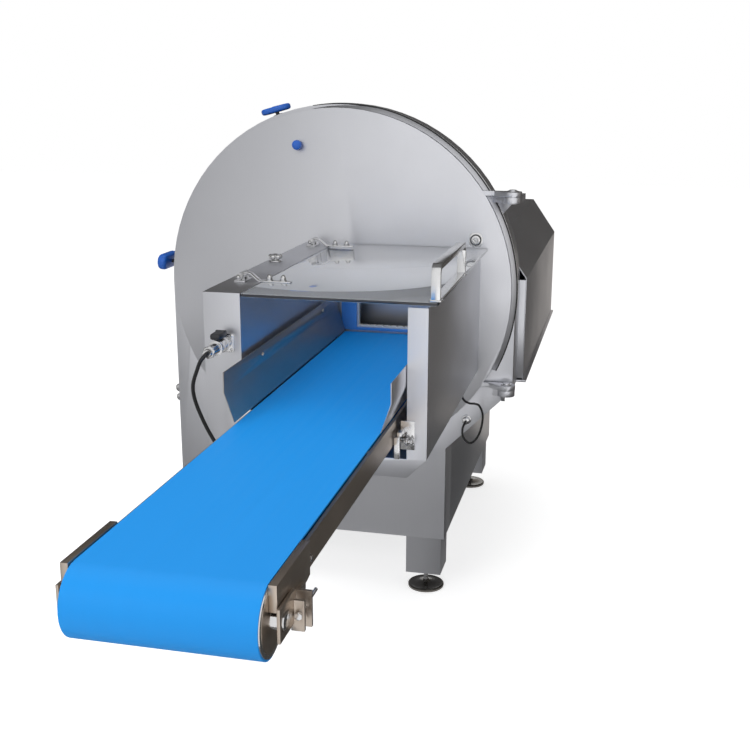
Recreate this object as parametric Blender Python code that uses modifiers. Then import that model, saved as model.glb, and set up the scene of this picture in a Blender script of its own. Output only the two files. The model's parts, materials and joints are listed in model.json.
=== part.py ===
"""Floor-standing meat slicer: round blade housing on a cabinet, swing door with a lidded guard,
and an outfeed belt conveyor carried by the door.

Metres. Inside the part x runs right from the blade axis, y runs back from the front face of the
door and z runs up from the blade axis. One empty then puts the part on the floor with its origin
under the middle of its outline.
"""

import math

import bmesh
import bpy
from mathutils import Matrix, Vector

# Driving dimensions
AXIS_HEIGHT = 0.938  # blade axis above the floor
DOOR_RADIUS = 0.500
HOUSING_RIM = 0.0095  # housing beyond the door
HOUSING_FRONT = 0.020  # y of the housing's front plate
HOUSING_DEPTH = 0.1063
GUARD_DEPTH = 0.784
GUARD_LEFT = -0.0907
GUARD_RIGHT = 0.4122
GUARD_TOP = 0.1263
BELT_WIDTH = 0.308
BELT_MIDDLE = 0.1861  # x of the conveyor's middle
BELT_TOP = -0.1226
CONVEYOR_REACH = 1.6226  # front drum axis before the door
CABINET_LEFT = -0.3710
CABINET_RIGHT = 0.3208
CABINET_REAR = 1.050
FOOT_RISE = 0.0622  # underside of the legs above the floor
LEG_HEIGHT = 0.1174
HOOD_LEFT = -0.220
HOOD_RIGHT = 0.5286
HOOD_REAR = 1.180
HOOD_TOP = 0.142
HOOD_BOTTOM = -0.2783
LEG_BOTTOM = FOOT_RISE - AXIS_HEIGHT
BASE_BOTTOM = LEG_BOTTOM + LEG_HEIGHT

# Fits and stock
FIT = 0.0005  # gap between pieces that rest on each other
RUN = 0.0010  # gap round what turns or slides
OVERRUN = 0.010  # how far a cutter passes what it cuts
WELD = 0.0010  # how far a welded piece sinks into its carrier
SHEET = 0.003
MERGE = 0.00001
SHARP_ANGLE = math.radians(32)
SIDES_SMALL = 12
SIDES_ROUND = 24
SIDES_DISC = 80

# Door and its seal
DOOR_DEPTH = 0.012
SEAL_WIDTH = 0.0165
WINDOW_LEFT = 0.0597
WINDOW_RIGHT = 0.3520
WINDOW_TOP = 0.1130
WINDOW_BOTTOM = -0.1135
WINDOW_BORDER = 0.010
HINGE_X = 0.4953
HINGE_Y = -0.0080
HINGE_ARM_THICKNESS = 0.0134
HINGE_ARM_UPPER = 0.2698  # underside of the upper arm
HINGE_ARM_LOWER = -0.2702
HINGE_ARM_ROOT = 0.400  # x where an arm leaves the door
HINGE_EYE_RADIUS = 0.0255
HINGE_PIN_RADIUS = 0.010
HINGE_PIN_HEAD = 0.005
HINGE_BOSS_HEIGHT = 0.0173
BRACKET_REAR = 0.100
BRACKET_ROOT = 0.425
GUSSET_DROP = 0.052
GUSSET_THICKNESS = 0.010
LOWER_PAD_LEFT = 0.455
LOWER_PAD_RIGHT = 0.505
LOWER_PAD_DROP = 0.026
LOWER_PAD_THICKNESS = 0.008

# Housing and blade chamber
HOUSING_WALL = 0.003
HOUSING_FACE = 0.006
HOUSING_OPENING_RADIUS = 0.455
RIGHT_CHAMFER_TOP = -0.2820
LEFT_CHAMFER_TOP = -0.6200
BACK_PLATE_THICKNESS = 0.004
PORT_TOP = 0.070  # opening for the meat through the back plate
PORT_BOTTOM = -0.110
SHAFT_PORT_RADIUS = 0.046

# Legs and feet
LEG_WIDTH = 0.1063
LEG_INSET = 0.0087
LEG_REAR_INSET = 0.010
LEG_WALL = 0.005
FOOT_RADIUS = 0.0525
FOOT_EDGE = 0.012
FOOT_NECK_RADIUS = 0.020
FOOT_HEIGHT = 0.020
STUD_RADIUS = 0.011
STUD_REACH = 0.050  # stud above the leg's underside
FOOT_NUT_RADIUS = 0.018
FOOT_NUT_HEIGHT = 0.010
FOOT_NUT_DROP = 0.002

# Latch handles
LATCH_TOP_ANGLE = math.radians(111.3)
LATCH_LEFT_ANGLE = math.radians(175.0)
LATCH_Y = 0.060
LATCH_LENGTH = 0.084
LATCH_WIDTH = 0.050
LATCH_THICKNESS = 0.024
LATCH_GAP = 0.018
LATCH_STEM_RADIUS = 0.009
LATCH_EDGE = 0.008
CAM_LENGTH = 0.034
CAM_WIDTH = 0.012
CAM_THICKNESS = 0.006
CAM_GAP = 0.004

# Blade, shaft and drive
BLADE_REACH = 0.420
BLADE_HEEL = 0.120
BLADE_SWEEP = math.radians(250)
BLADE_STEPS = 40
BLADE_THICKNESS = 0.005
BLADE_GAP = 0.0133  # blade before the back plate
SHAFT_RADIUS = 0.020
SHAFT_REAR = 0.295
CLAMP_DISC_RADIUS = 0.050
CLAMP_DISC_THICKNESS = 0.012
COLLAR_RADIUS = 0.040
COLLAR_LENGTH = 0.012
BEARING_RADIUS = 0.045
BEARING_FLANGE_RADIUS = 0.050
BEARING_FLANGE_THICKNESS = 0.012
BEARING_REAR = 0.235
PULLEY_RADIUS = 0.040
MOTOR_PULLEY_RADIUS = 0.032
PULLEY_FLANGE = 0.003
PULLEY_FRONT = 0.245
PULLEY_WIDTH = 0.040
DRIVE_BELT_THICKNESS = 0.005
DRIVE_BELT_WIDTH = 0.030
MOTOR_RISE = 0.2084  # motor axis above the cabinet's underside
MOTOR_DROP = -BASE_BOTTOM - MOTOR_RISE
MOTOR_RADIUS = 0.080
MOTOR_FRONT = 0.310
MOTOR_LENGTH = 0.290
MOTOR_FOOT_WIDTH = 0.140
MOTOR_SHAFT_RADIUS = 0.012
MOTOR_SHAFT_GRIP = 0.050
BELT_SLOT_MARGIN = 0.012

# Infeed under the hood
TROUGH_WALL = 0.003
TROUGH_SIDE_GAP = 0.005
TROUGH_SIDE_TOP = 0.050
TROUGH_FRONT_GAP = 0.0034
TROUGH_REAR = 1.020
END_BRACKET_THICKNESS = 0.010
END_BRACKET_TOP = 0.125
TROUGH_SUPPORT_SHARES = (0.22, 0.75)
TROUGH_SUPPORT_THICKNESS = 0.006
ROD_HEIGHT = 0.095
ROD_RADIUS = 0.006
ROD_SPACING = 0.200
SCREW_RADIUS = 0.008
FEED_MOTOR_SIZE = 0.070
FEED_MOTOR_LENGTH = 0.095
FEED_MOTOR_BORE_DEPTH = 0.020
PUSHER_REST = 0.860
PUSHER_THICKNESS = 0.012
PUSHER_MARGIN = 0.006
PUSHER_TOOTH = 0.014
PUSHER_TOOTH_RADIUS = 0.004
CARRIAGE_WIDTH = 0.250
CARRIAGE_HEIGHT = 0.024
CARRIAGE_LENGTH = 0.060

# Cabinet, deck and hood
DECK_THICKNESS = 0.006
DECK_LIP = 0.008
DECK_GAP = 0.001
REAR_PANEL_INSET = 0.030
REAR_PANEL_THICKNESS = 0.003
REAR_PANEL_BORDER = 0.040
LOUVRE_COUNT = 6
LOUVRE_HEIGHT = 0.010
LOUVRE_LENGTH_SHARE = 0.55
LOUVRE_FIELD_SHARE = 0.40
HOOD_FRONT_GAP = 0.004
HOOD_CHAMFER_WIDTH = 0.083
HOOD_CHAMFER_HEIGHT = 0.119
HOOD_PIVOT_OUT = 0.016
HOOD_BARREL_RADIUS = 0.008
HOOD_PIN_RADIUS = 0.0045
HOOD_BARREL_LENGTH = 0.060
HOOD_HINGE_SHARES = (0.18, 0.82)
HOOD_LUG_LENGTH = 0.016
HOOD_LUG_THICKNESS = 0.008

# Guard on the door
POST_LEFT_INNER = -0.0049
POST_RIGHT_INNER = 0.3676
GUARD_RIGHT_TOP = 0.1129
GUARD_SIDE_BOTTOM = -0.2272
GUARD_FACE_BOTTOM = -0.2668
GUARD_CHAMFER = 0.0443
GUARD_LIP_TOP = -0.2230
GUARD_GLAND_X = 0.060
GUARD_GLAND_Z = -0.2449
GUARD_GLAND_RADIUS = 0.009
GUARD_GLAND_LENGTH = 0.016

# Lid with its hinges, handle and stop
LID_LEFT = -0.0031
LID_RIGHT = 0.4309
LID_TOP = 0.1259
LID_THICKNESS = 0.008
LID_REAR_GAP = 0.003
LID_PIVOT_X = -0.0500
LID_PIVOT_Z = 0.1400
LID_PIN_RADIUS = 0.004
LID_EYE_RADIUS = 0.0075
LID_HINGE_FRONT_Y = -0.636
LID_HINGE_REAR_Y = -0.066
STRAP_WIDTH = 0.018
STRAP_THICKNESS = 0.004
STRAP_REACH = 0.122
STRAP_CRANK = 0.030
BLOCK_WIDTH = 0.026
BLOCK_LENGTH = 0.050
BLOCK_CHEEK = 0.010
BLOCK_BASE = 0.004
SCREW_HEAD_RADIUS = 0.0055
SCREW_HEAD_HEIGHT = 0.004
STRAP_SCREW_SHARES = (0.42, 0.80)
HANDLE_INSET = 0.005
HANDLE_WIDTH = 0.020
HANDLE_BAR = 0.012
HANDLE_TOP = 0.2060
HANDLE_FRONT = -0.783
HANDLE_REAR = -0.431
HANDLE_CORNER = 0.022
STOP_X = -0.1093
STOP_Z = 0.3980
STOP_RADIUS = 0.016
STOP_LENGTH = 0.022
KNOB_X = -0.066
KNOB_Y = -0.350
KNOB_LOBES = 5
KNOB_LOBE_RADIUS = 0.0075
KNOB_LOBE_ORBIT = 0.0115
KNOB_HEIGHT = 0.016
KNOB_BASE_RADIUS = 0.017
KNOB_BASE_HEIGHT = 0.004

# Pieces on the door face and the guard's post
SENSOR_X = 0.3970
SENSOR_Z = 0.1520
SENSOR_RADIUS = 0.0150
SENSOR_HEIGHT = 0.010
SENSOR_PLATE_WIDTH = 0.038
SENSOR_PLATE_THICKNESS = 0.004
SENSOR_PLATE_BOTTOM = 0.1310
SOCKET_X = -0.0410
SOCKET_Z = 0.0156
SOCKET_FLANGE = 0.042
SOCKET_FLANGE_THICKNESS = 0.004
SOCKET_CORNER = 0.006
SOCKET_BARREL_RADIUS = 0.0135
SOCKET_BARREL_LENGTH = 0.012
PLUG_RADIUS = 0.0165
PLUG_LENGTH = 0.044
PLUG_NECK_RADIUS = 0.0115
PLUG_NECK_LENGTH = 0.042
LEVER_GAP = 0.0003
LEVER_LENGTH = 0.046
LEVER_WIDTH = 0.024
LEVER_HEIGHT = 0.016
LEVER_EDGE = 0.005
STRIP_LEFT = 0.0150
STRIP_THICKNESS = 0.004
STRIP_TOP = 0.1150
STRIP_BOTTOM = -0.1215
FRAME_BORDER = 0.0060
FRAME_FRONT = 0.002  # window frame before the door face
TOOTH_PITCH = 0.020
TOOTH_RADIUS = 0.0055

# Side guides above the belt
GUIDE_SHEET = 0.002
GUIDE_FRONT = -0.930
GUIDE_REAR = -0.020
GUIDE_FOOT_GAP = 0.0025
GUIDE_FOOT_OUT = 0.0021
GUIDE_BEND = -0.0570
GUIDE_TOP = -0.0130
GUIDE_LEAN = 0.0215
GUIDE_SCREW_YS = (-0.680, -0.175)
GUIDE_SPACER_RADIUS = 0.007
GUIDE_HEAD_RADIUS = 0.006
GUIDE_HEAD_HEIGHT = 0.003

# Conveyor
BELT_THICKNESS = 0.003
DRUM_RADIUS = 0.0575
DRUM_WALL = 0.004
DRUM_OVERHANG = 0.002
DRUM_SHAFT_RADIUS = 0.015
DRUM_FLAT = 0.0105
TAIL_Y = -0.0295
TAIL_RADIUS = 0.0150
SNUB_Y = -1.530
SNUB_Z = -0.1660
SNUB_RADIUS = 0.010
STUB_RADIUS = 0.0045
STUB_GRIP = 0.002
RAIL_GAP = 0.0012
RAIL_THICKNESS = 0.0065
RAIL_TOP = -0.1280
RAIL_BOTTOM = -0.1790
RAIL_REAR = -0.0120
NOSE_FRONT = -1.640
NOSE_TOP = -0.121
NOSE_REAR = -1.475
NOSE_THICKNESS = 0.0143
NOSE_SET = SHEET / 2  # a nose plate's inner face beyond the rail's
NOSE_FRONT_BOTTOM = -0.1637
NOSE_BULGE_BOTTOM = -0.1820
NOSE_BULGE_FRONT = -1.544
NOSE_BULGE_REAR = -1.494
BED_SHEET = 0.002
BED_GAP = 0.001
BED_FRONT = -1.545
BED_REAR = -0.060
CROSS_BAR_SIZE = 0.012
CROSS_BAR_SHARES = (0.05, 0.35, 0.65, 0.95)
TAKEUP_GAP = 0.0012
TAKEUP_THICKNESS = 0.005
TAKEUP_FRONT = -1.647
TAKEUP_REAR = -1.575
TAKEUP_TOP = -0.155
TAKEUP_BOTTOM = -0.209
TAB_THICKNESS = 0.006
TAB_REACH = 0.016
ANGLE_FRONT = -1.553
ANGLE_THICKNESS = 0.006
ANGLE_TOP = -0.168
ANGLE_BOTTOM = -0.227
ANGLE_REACH = 0.034
TENSION_SCREW_RADIUS = 0.003
TENSION_SCREW_REAR = -1.492
TENSION_NUT_RADIUS = 0.0065
TENSION_NUT_HEIGHT = 0.006
TENSION_WASHER_RADIUS = 0.0075
TENSION_WASHER_HEIGHT = 0.003
CLAMP_LENGTH = 0.045
CLAMP_REACH = 0.034
CLAMP_TOP = -0.130
CLAMP_BOTTOM = -0.175
CLAMP_LEG_BOTTOM = -0.226
CLAMP_LEG_THICKNESS = 0.008
CLAMP_PIN_REACH = 0.027
CLAMP_PIN_RADIUS = 0.006
CLAMP_PIN_DROP = 0.014
CLAMP_BOLT_RADIUS = 0.005
CLAMP_NUT_RADIUS = 0.009
CLAMP_NUT_HEIGHT = 0.008

# Cords
CABLE_LEFT_RADIUS = 0.0042
CABLE_RIGHT_RADIUS = 0.0030
CABLE_GAP = 0.0003
CABLE_STEPS = 2
GLAND_X = 0.3816
GLAND_Z = -0.3753
GLAND_RADIUS = 0.011
GLAND_LENGTH = 0.022

# Places worked out from the sizes above
HOUSING_RADIUS = DOOR_RADIUS + HOUSING_RIM
HOUSING_REAR = HOUSING_FRONT + HOUSING_DEPTH
BACK_FRONT = HOUSING_REAR + FIT
BACK_REAR = BACK_FRONT + BACK_PLATE_THICKNESS
CABINET_FRONT = BACK_REAR + FIT
DECK_TOP = HOOD_BOTTOM - DECK_GAP
DECK_BOTTOM = DECK_TOP - DECK_THICKNESS
DECK_RIGHT = HOOD_RIGHT + DECK_LIP
DECK_REAR = HOOD_REAR + DECK_LIP
BELT_LEFT = BELT_MIDDLE - BELT_WIDTH / 2
BELT_RIGHT = BELT_MIDDLE + BELT_WIDTH / 2
BELT_INNER = FIT + DRUM_RADIUS
DRUM_Y = -CONVEYOR_REACH
DRUM_Z = BELT_TOP - BELT_THICKNESS - BELT_INNER
TAIL_Z = BELT_TOP - BELT_THICKNESS - FIT - TAIL_RADIUS
RAIL_INNER = BELT_WIDTH / 2 + RAIL_GAP
RAIL_OUTER = RAIL_INNER + RAIL_THICKNESS
LID_UNDER = LID_TOP - LID_THICKNESS
LATCH_OUTER = HOUSING_RADIUS + LATCH_GAP + LATCH_THICKNESS
FLOOR = -AXIS_HEIGHT
OUTLINE_LEFT = -(
    LATCH_EDGE
    + (LATCH_OUTER - LATCH_EDGE) * abs(math.cos(LATCH_LEFT_ANGLE))
    + (LATCH_WIDTH / 2 - LATCH_EDGE) * abs(math.sin(LATCH_LEFT_ANGLE))
)
OUTLINE_FRONT = DRUM_Y - BELT_INNER - BELT_THICKNESS
ORIGIN_X = (OUTLINE_LEFT + DECK_RIGHT) / 2
ORIGIN_Y = (OUTLINE_FRONT + DECK_REAR) / 2

# Colour (linear), roughness and metallic value of each material
MATERIALS = {
    "satin_steel": ((0.47, 0.47, 0.49), 0.38, 1.0),
    "dark_side_steel": ((0.30, 0.29, 0.28), 0.42, 1.0),
    "polished_steel": ((0.62, 0.62, 0.63), 0.18, 1.0),
    "cast_iron_grey": ((0.16, 0.17, 0.18), 0.60, 0.6),
    "belt_blue": ((0.02, 0.27, 0.76), 0.45, 0.0),
    "handle_blue": ((0.02, 0.08, 0.55), 0.35, 0.0),
    "smoked_sheet": ((0.20, 0.20, 0.21), 0.08, 0.0),
    "white_plastic": ((0.75, 0.75, 0.74), 0.40, 0.0),
    "black_plastic": ((0.015, 0.015, 0.016), 0.45, 0.0),
    "black_rubber": ((0.02, 0.02, 0.02), 0.70, 0.0),
}

X_AXIS = Vector((1, 0, 0))
Y_AXIS = Vector((0, 1, 0))
Z_AXIS = Vector((0, 0, 1))
PLANES = {
    "XY": Matrix(((1, 0, 0), (0, 1, 0), (0, 0, 1))),
    "XZ": Matrix(((1, 0, 0), (0, 0, -1), (0, 1, 0))),
    "YZ": Matrix(((0, 0, 1), (1, 0, 0), (0, 1, 0))),
}
OUT_OF_PLANE = {"XY": Z_AXIS, "XZ": Y_AXIS, "YZ": X_AXIS}

for leftover in list(bpy.data.objects):
    bpy.data.objects.remove(leftover)

parts = bpy.data.collections.new("meat_slicer")
tools = bpy.data.collections.new("meat_slicer_tools")
for made in (parts, tools):
    bpy.context.scene.collection.children.link(made)

groups = {}


def group(name, place, parent=None):
    """An empty on the joint axis of a moving group."""
    empty = bpy.data.objects.new(name, None)
    parts.objects.link(empty)
    place = Vector(place)
    if parent:
        empty.parent = groups[parent][0]
        empty.location = place - groups[parent][1]
        groups[name] = (empty, place)
    else:
        empty.location = place
        groups[name] = (empty, Vector())
    return empty


def material_named(name):
    material = bpy.data.materials.get(name)
    if material is None:
        colour, roughness, metallic = MATERIALS[name]
        material = bpy.data.materials.new(name)
        material.use_nodes = True
        shader = material.node_tree.nodes["Principled BSDF"]
        shader.inputs["Base Color"].default_value = (*colour, 1)
        shader.inputs["Roughness"].default_value = roughness
        shader.inputs["Metallic"].default_value = metallic
    return material


def shape(mesh, matrix):
    """A helper object: it stays hidden until it becomes a part."""
    obj = bpy.data.objects.new("helper", mesh)
    tools.objects.link(obj)
    obj.matrix_world = matrix
    obj.hide_render = True
    obj.display_type = "WIRE"
    return obj


def mesh_from(builder):
    mesh = bpy.data.meshes.new("helper")
    bm = bmesh.new()
    builder(bm)
    bm.to_mesh(mesh)
    bm.free()
    return mesh


def block(x, y, z, edge=0):
    """A box between two limits on each axis, with rounded edges where edge is given."""
    middle = Vector([sum(limits) / 2 for limits in (x, y, z)])
    size = [max(limits) - min(limits) for limits in (x, y, z)]

    def build(bm):
        bmesh.ops.create_cube(bm, size=1, matrix=Matrix.Diagonal((*size, 1)))

    obj = shape(mesh_from(build), Matrix.Translation(middle))
    if edge:
        rounded(obj, edge)
    return obj


def rounded(obj, width, segments=2):
    bevel = obj.modifiers.new("rounding", "BEVEL")
    bevel.width = width
    bevel.segments = segments
    bevel.limit_method = "ANGLE"
    bevel.angle_limit = SHARP_ANGLE
    return obj


def along(start, end):
    """The matrix that puts a shape made along z between two points."""
    start, end = Vector(start), Vector(end)
    turn = (end - start).to_track_quat("Z", "Y").to_matrix().to_4x4()
    return Matrix.Translation((start + end) / 2) @ turn


def rod(start, end, radius, sides=SIDES_ROUND, end_radius=None):
    """A cylinder, prism or cone between two points."""
    length = (Vector(end) - Vector(start)).length

    def build(bm):
        bmesh.ops.create_cone(
            bm,
            cap_ends=True,
            segments=sides,
            radius1=radius,
            radius2=radius if end_radius is None else end_radius,
            depth=length,
        )

    return shape(mesh_from(build), along(start, end))


def across(x, y, z, radius, sides=SIDES_ROUND):
    """A cylinder along the one axis whose value is a pair of limits."""
    ends = []
    for side in (0, 1):
        ends.append([v[side] if isinstance(v, tuple) else v for v in (x, y, z)])
    return rod(*ends, radius, sides)


def turned(profile, place, axis, sides=SIDES_ROUND, ring=False):
    """A profile of (radius, height) turned round an axis; a ring's profile is a closed loop."""

    def build(bm):
        points = [bm.verts.new((radius, 0, height)) for radius, height in profile]
        ends = points[1:] + points[:1] if ring else points[1:]
        for first, second in zip(points, ends):
            bm.edges.new((first, second))

    obj = shape(
        mesh_from(build),
        Matrix.Translation(place) @ Vector(axis).to_track_quat("Z", "Y").to_matrix().to_4x4(),
    )
    screw = obj.modifiers.new("turning", "SCREW")
    screw.steps = sides
    screw.render_steps = sides
    screw.use_merge_vertices = True
    screw.merge_threshold = MERGE
    return obj


def made_mesh(curve):
    """The closed mesh of a curve object, which the curve leaves its place to."""
    obj = bpy.data.objects.new("helper", curve)
    tools.objects.link(obj)
    bpy.context.view_layer.update()
    mesh = bpy.data.meshes.new_from_object(
        obj.evaluated_get(bpy.context.evaluated_depsgraph_get())
    )
    bpy.data.objects.remove(obj)
    bm = bmesh.new()
    bm.from_mesh(mesh)
    bmesh.ops.remove_doubles(bm, verts=bm.verts, dist=MERGE)
    bmesh.ops.recalc_face_normals(bm, faces=bm.faces)
    bm.to_mesh(mesh)
    bm.free()
    return mesh


def spline(curve, points, cyclic):
    line = curve.splines.new("POLY")
    line.points.add(len(points) - 1)
    for place, point in zip(line.points, points):
        place.co = (*point, 0, 1) if len(point) == 2 else (*point, 1)
    line.use_cyclic_u = cyclic


def plate(points, plane, low, high, holes=()):
    """A flat outline in one plane, given its thickness between two places across that plane."""
    curve = bpy.data.curves.new("helper", "CURVE")
    curve.dimensions = "2D"
    curve.fill_mode = "BOTH"
    curve.extrude = (high - low) / 2
    for outline in (points, *holes):
        spline(curve, outline, True)
    middle = OUT_OF_PLANE[plane] * (low + high) / 2
    return shape(made_mesh(curve), Matrix.Translation(middle) @ PLANES[plane].to_4x4())


def tube(points, radius, resolution=2):
    curve = bpy.data.curves.new("helper", "CURVE")
    curve.dimensions = "3D"
    curve.bevel_depth = radius
    curve.bevel_resolution = resolution
    curve.use_fill_caps = True
    spline(curve, points, False)
    return shape(made_mesh(curve), Matrix.Identity(4))


def boolean(base, operation, pieces):
    for piece in pieces:
        modifier = base.modifiers.new(operation.lower(), "BOOLEAN")
        modifier.operation = operation
        modifier.solver = "EXACT"
        modifier.object = piece
    return base


def join(base, *pieces):
    return boolean(base, "UNION", pieces)


def cut(base, *pieces):
    return boolean(base, "DIFFERENCE", pieces)


def carry(obj, name):
    """Parents a shape, and what shapes it, to a group without moving it."""
    empty, place = groups[name]
    obj.parent = empty
    obj.matrix_parent_inverse = Matrix.Translation(-place)
    for modifier in obj.modifiers:
        if modifier.type == "BOOLEAN":
            carry(modifier.object, name)


def node(obj, name, material, carrier="machine"):
    """Makes a shape one of the parts."""
    obj.name = name
    obj.data.name = name
    tools.objects.unlink(obj)
    parts.objects.link(obj)
    obj.hide_render = False
    obj.display_type = "TEXTURED"
    obj.data.materials.clear()
    obj.data.materials.append(material_named(material))
    obj.data.shade_smooth()
    obj.data.set_sharp_from_angle(angle=SHARP_ANGLE)
    carry(obj, carrier)
    return obj


def arc(centre, radius, start, end, steps):
    """Points of an arc; angles in radians, anticlockwise from the first axis."""
    found = []
    for step in range(steps + 1):
        angle = start + (end - start) * step / steps
        found.append(
            (centre[0] + radius * math.cos(angle), centre[1] + radius * math.sin(angle))
        )
    return found


def circle(centre, radius, sides=SIDES_ROUND):
    return arc(centre, radius, 0, math.tau, sides)[:-1]


def rounded_rectangle(x, z, radius, steps=4):
    quarter = math.pi / 2
    corners = (
        (x[1] - radius, z[1] - radius),
        (x[0] + radius, z[1] - radius),
        (x[0] + radius, z[0] + radius),
        (x[1] - radius, z[0] + radius),
    )
    found = []
    for index, corner in enumerate(corners):
        found += arc(corner, radius, quarter * index, quarter * (index + 1), steps)
    return found


def inset(points, distance):
    """An anticlockwise outline moved inwards, with its corners mitred."""
    found = []
    for index, point in enumerate(points):
        before = Vector(points[index - 1])
        here = Vector(point)
        after = Vector(points[(index + 1) % len(points)])
        first = (here - before).normalized()
        second = (after - here).normalized()
        inwards = Vector((-first.y - second.y, first.x + second.x)).normalized()
        grown = distance / max(inwards.dot(Vector((-first.y, first.x))), 1 / 4)
        found.append(tuple(here + inwards * grown))
    return found


def loop_round(circles, steps):
    """A closed line round circles (centre, radius) in anticlockwise order; a circle with a
    negative radius is passed on its other side."""
    normals = []
    for index, (centre, radius) in enumerate(circles):
        next_centre, next_radius = circles[(index + 1) % len(circles)]
        way = Vector(next_centre) - Vector(centre)
        share = (radius - next_radius) / way.length
        way.normalize()
        outer = Vector((way.y, -way.x))
        normals.append(way * share + outer * math.sqrt(1 - share * share))
    found = []
    for index, (centre, radius) in enumerate(circles):
        start = math.atan2(normals[index - 1].y, normals[index - 1].x)
        end = math.atan2(normals[index].y, normals[index].x)
        if radius > 0 and end < start:
            end += math.tau
        if radius < 0 and end > start:
            end -= math.tau
        found += arc(centre, radius, start, end, steps)
    return found


def mirrored(x):
    """The place across the conveyor's middle."""
    return 2 * BELT_MIDDLE - x


def sided(side, x):
    """A place given for the right side, on the side named."""
    return x if side == "right" else mirrored(x)


def between(low, high, share):
    return low + (high - low) * share


def turned_about(obj, place, axis, angle):
    """Turns a shape, and what shapes it, about an axis through a place."""
    place = Vector(place)
    turn = (
        Matrix.Translation(place)
        @ Matrix.Rotation(angle, 4, axis)
        @ Matrix.Translation(-place)
    )
    obj.matrix_world = turn @ obj.matrix_basis
    for modifier in obj.modifiers:
        if modifier.type == "BOOLEAN":
            turned_about(modifier.object, place, axis, angle)
    return obj


def housing_outline():
    """Front outline of the housing, anticlockwise from the right chamfer."""
    right_drop = HOUSING_RADIUS - CABINET_RIGHT
    left_drop = HOUSING_RADIUS + CABINET_LEFT
    outline = [
        (CABINET_LEFT, BASE_BOTTOM),
        (CABINET_RIGHT, BASE_BOTTOM),
        (CABINET_RIGHT, RIGHT_CHAMFER_TOP - right_drop),
        (HOUSING_RADIUS, RIGHT_CHAMFER_TOP),
    ]
    outline += arc((0, 0), HOUSING_RADIUS, 0, math.pi, SIDES_DISC // 2)
    outline += [
        (-HOUSING_RADIUS, LEFT_CHAMFER_TOP),
        (CABINET_LEFT, LEFT_CHAMFER_TOP - left_drop),
    ]
    return outline


def leg_lefts():
    return {
        "left": CABINET_LEFT + LEG_INSET,
        "right": CABINET_RIGHT - LEG_INSET - LEG_WIDTH,
    }


def add_leg(carrier, left, front, depth, floor_sheet):
    """Welds a hollow leg with a stud hole under a carrier whose floor is given."""
    x = (left, left + LEG_WIDTH)
    y = (front + FIT, front + depth - FIT)
    join(carrier, block(x, y, (LEG_BOTTOM, BASE_BOTTOM + floor_sheet / 2)))
    hollow_x = (x[0] + LEG_WALL, x[1] - LEG_WALL)
    hollow_y = (y[0] + floor_sheet + LEG_WALL, y[1] - LEG_WALL)
    middle = (sum(x) / 2, sum(y) / 2)
    cut(
        carrier,
        block(hollow_x, hollow_y, (LEG_BOTTOM + LEG_WALL, BASE_BOTTOM + OVERRUN)),
        rod(
            (*middle, LEG_BOTTOM - OVERRUN),
            (*middle, LEG_BOTTOM + OVERRUN),
            STUD_RADIUS + RUN,
        ),
    )
    return middle


def latch_axis(angle):
    return Vector((math.cos(angle), 0, math.sin(angle)))


def blade_housing():
    """Front plate with the round opening, side wall all round it, and the two front legs."""
    outline = housing_outline()
    body = plate(outline, "XZ", HOUSING_FRONT, HOUSING_REAR)
    hollow = plate(
        inset(outline, HOUSING_WALL), "XZ", HOUSING_FRONT + HOUSING_FACE, HOUSING_REAR + OVERRUN
    )
    opening = across(
        0,
        (HOUSING_FRONT - OVERRUN, HOUSING_FRONT + HOUSING_FACE + OVERRUN),
        0,
        HOUSING_OPENING_RADIUS,
        SIDES_DISC,
    )
    cut(body, hollow, opening)
    feet = {}
    for side, left in leg_lefts().items():
        feet["front_" + side] = add_leg(
            body, left, HOUSING_FRONT, HOUSING_DEPTH, HOUSING_WALL
        )
    for angle in (LATCH_TOP_ANGLE, LATCH_LEFT_ANGLE):
        axis = latch_axis(angle)
        centre = Vector((0, LATCH_Y, 0))
        cut(
            body,
            rod(
                centre + axis * (HOUSING_RADIUS - OVERRUN),
                centre + axis * (HOUSING_RADIUS + OVERRUN),
                LATCH_STEM_RADIUS + RUN,
                SIDES_SMALL,
            ),
        )
    node(body, "blade_housing", "satin_steel")
    return feet


def back_plate():
    """Rear wall of the blade chamber, open for the meat and the shaft."""
    body = plate(housing_outline(), "XZ", BACK_FRONT, BACK_REAR)
    through = (BACK_FRONT - OVERRUN, BACK_REAR + OVERRUN)
    cut(
        body,
        block((WINDOW_LEFT, WINDOW_RIGHT), through, (PORT_BOTTOM, PORT_TOP)),
        across(0, through, 0, SHAFT_PORT_RADIUS),
    )
    node(body, "back_plate", "satin_steel")


def drive_slot():
    """Limits in x and y of the slot that the drive belt runs through."""
    half = PULLEY_RADIUS + DRIVE_BELT_THICKNESS + BELT_SLOT_MARGIN
    return (-half, half), (
        PULLEY_FRONT - BELT_SLOT_MARGIN,
        PULLEY_FRONT + PULLEY_WIDTH + BELT_SLOT_MARGIN,
    )


def hood_pivot():
    return HOOD_LEFT - HOOD_PIVOT_OUT, DECK_TOP + HOOD_BARREL_RADIUS + RUN


def hood_hinge_middles():
    front = CABINET_FRONT + HOOD_FRONT_GAP
    return [between(front, HOOD_REAR, share) for share in HOOD_HINGE_SHARES]


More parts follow.
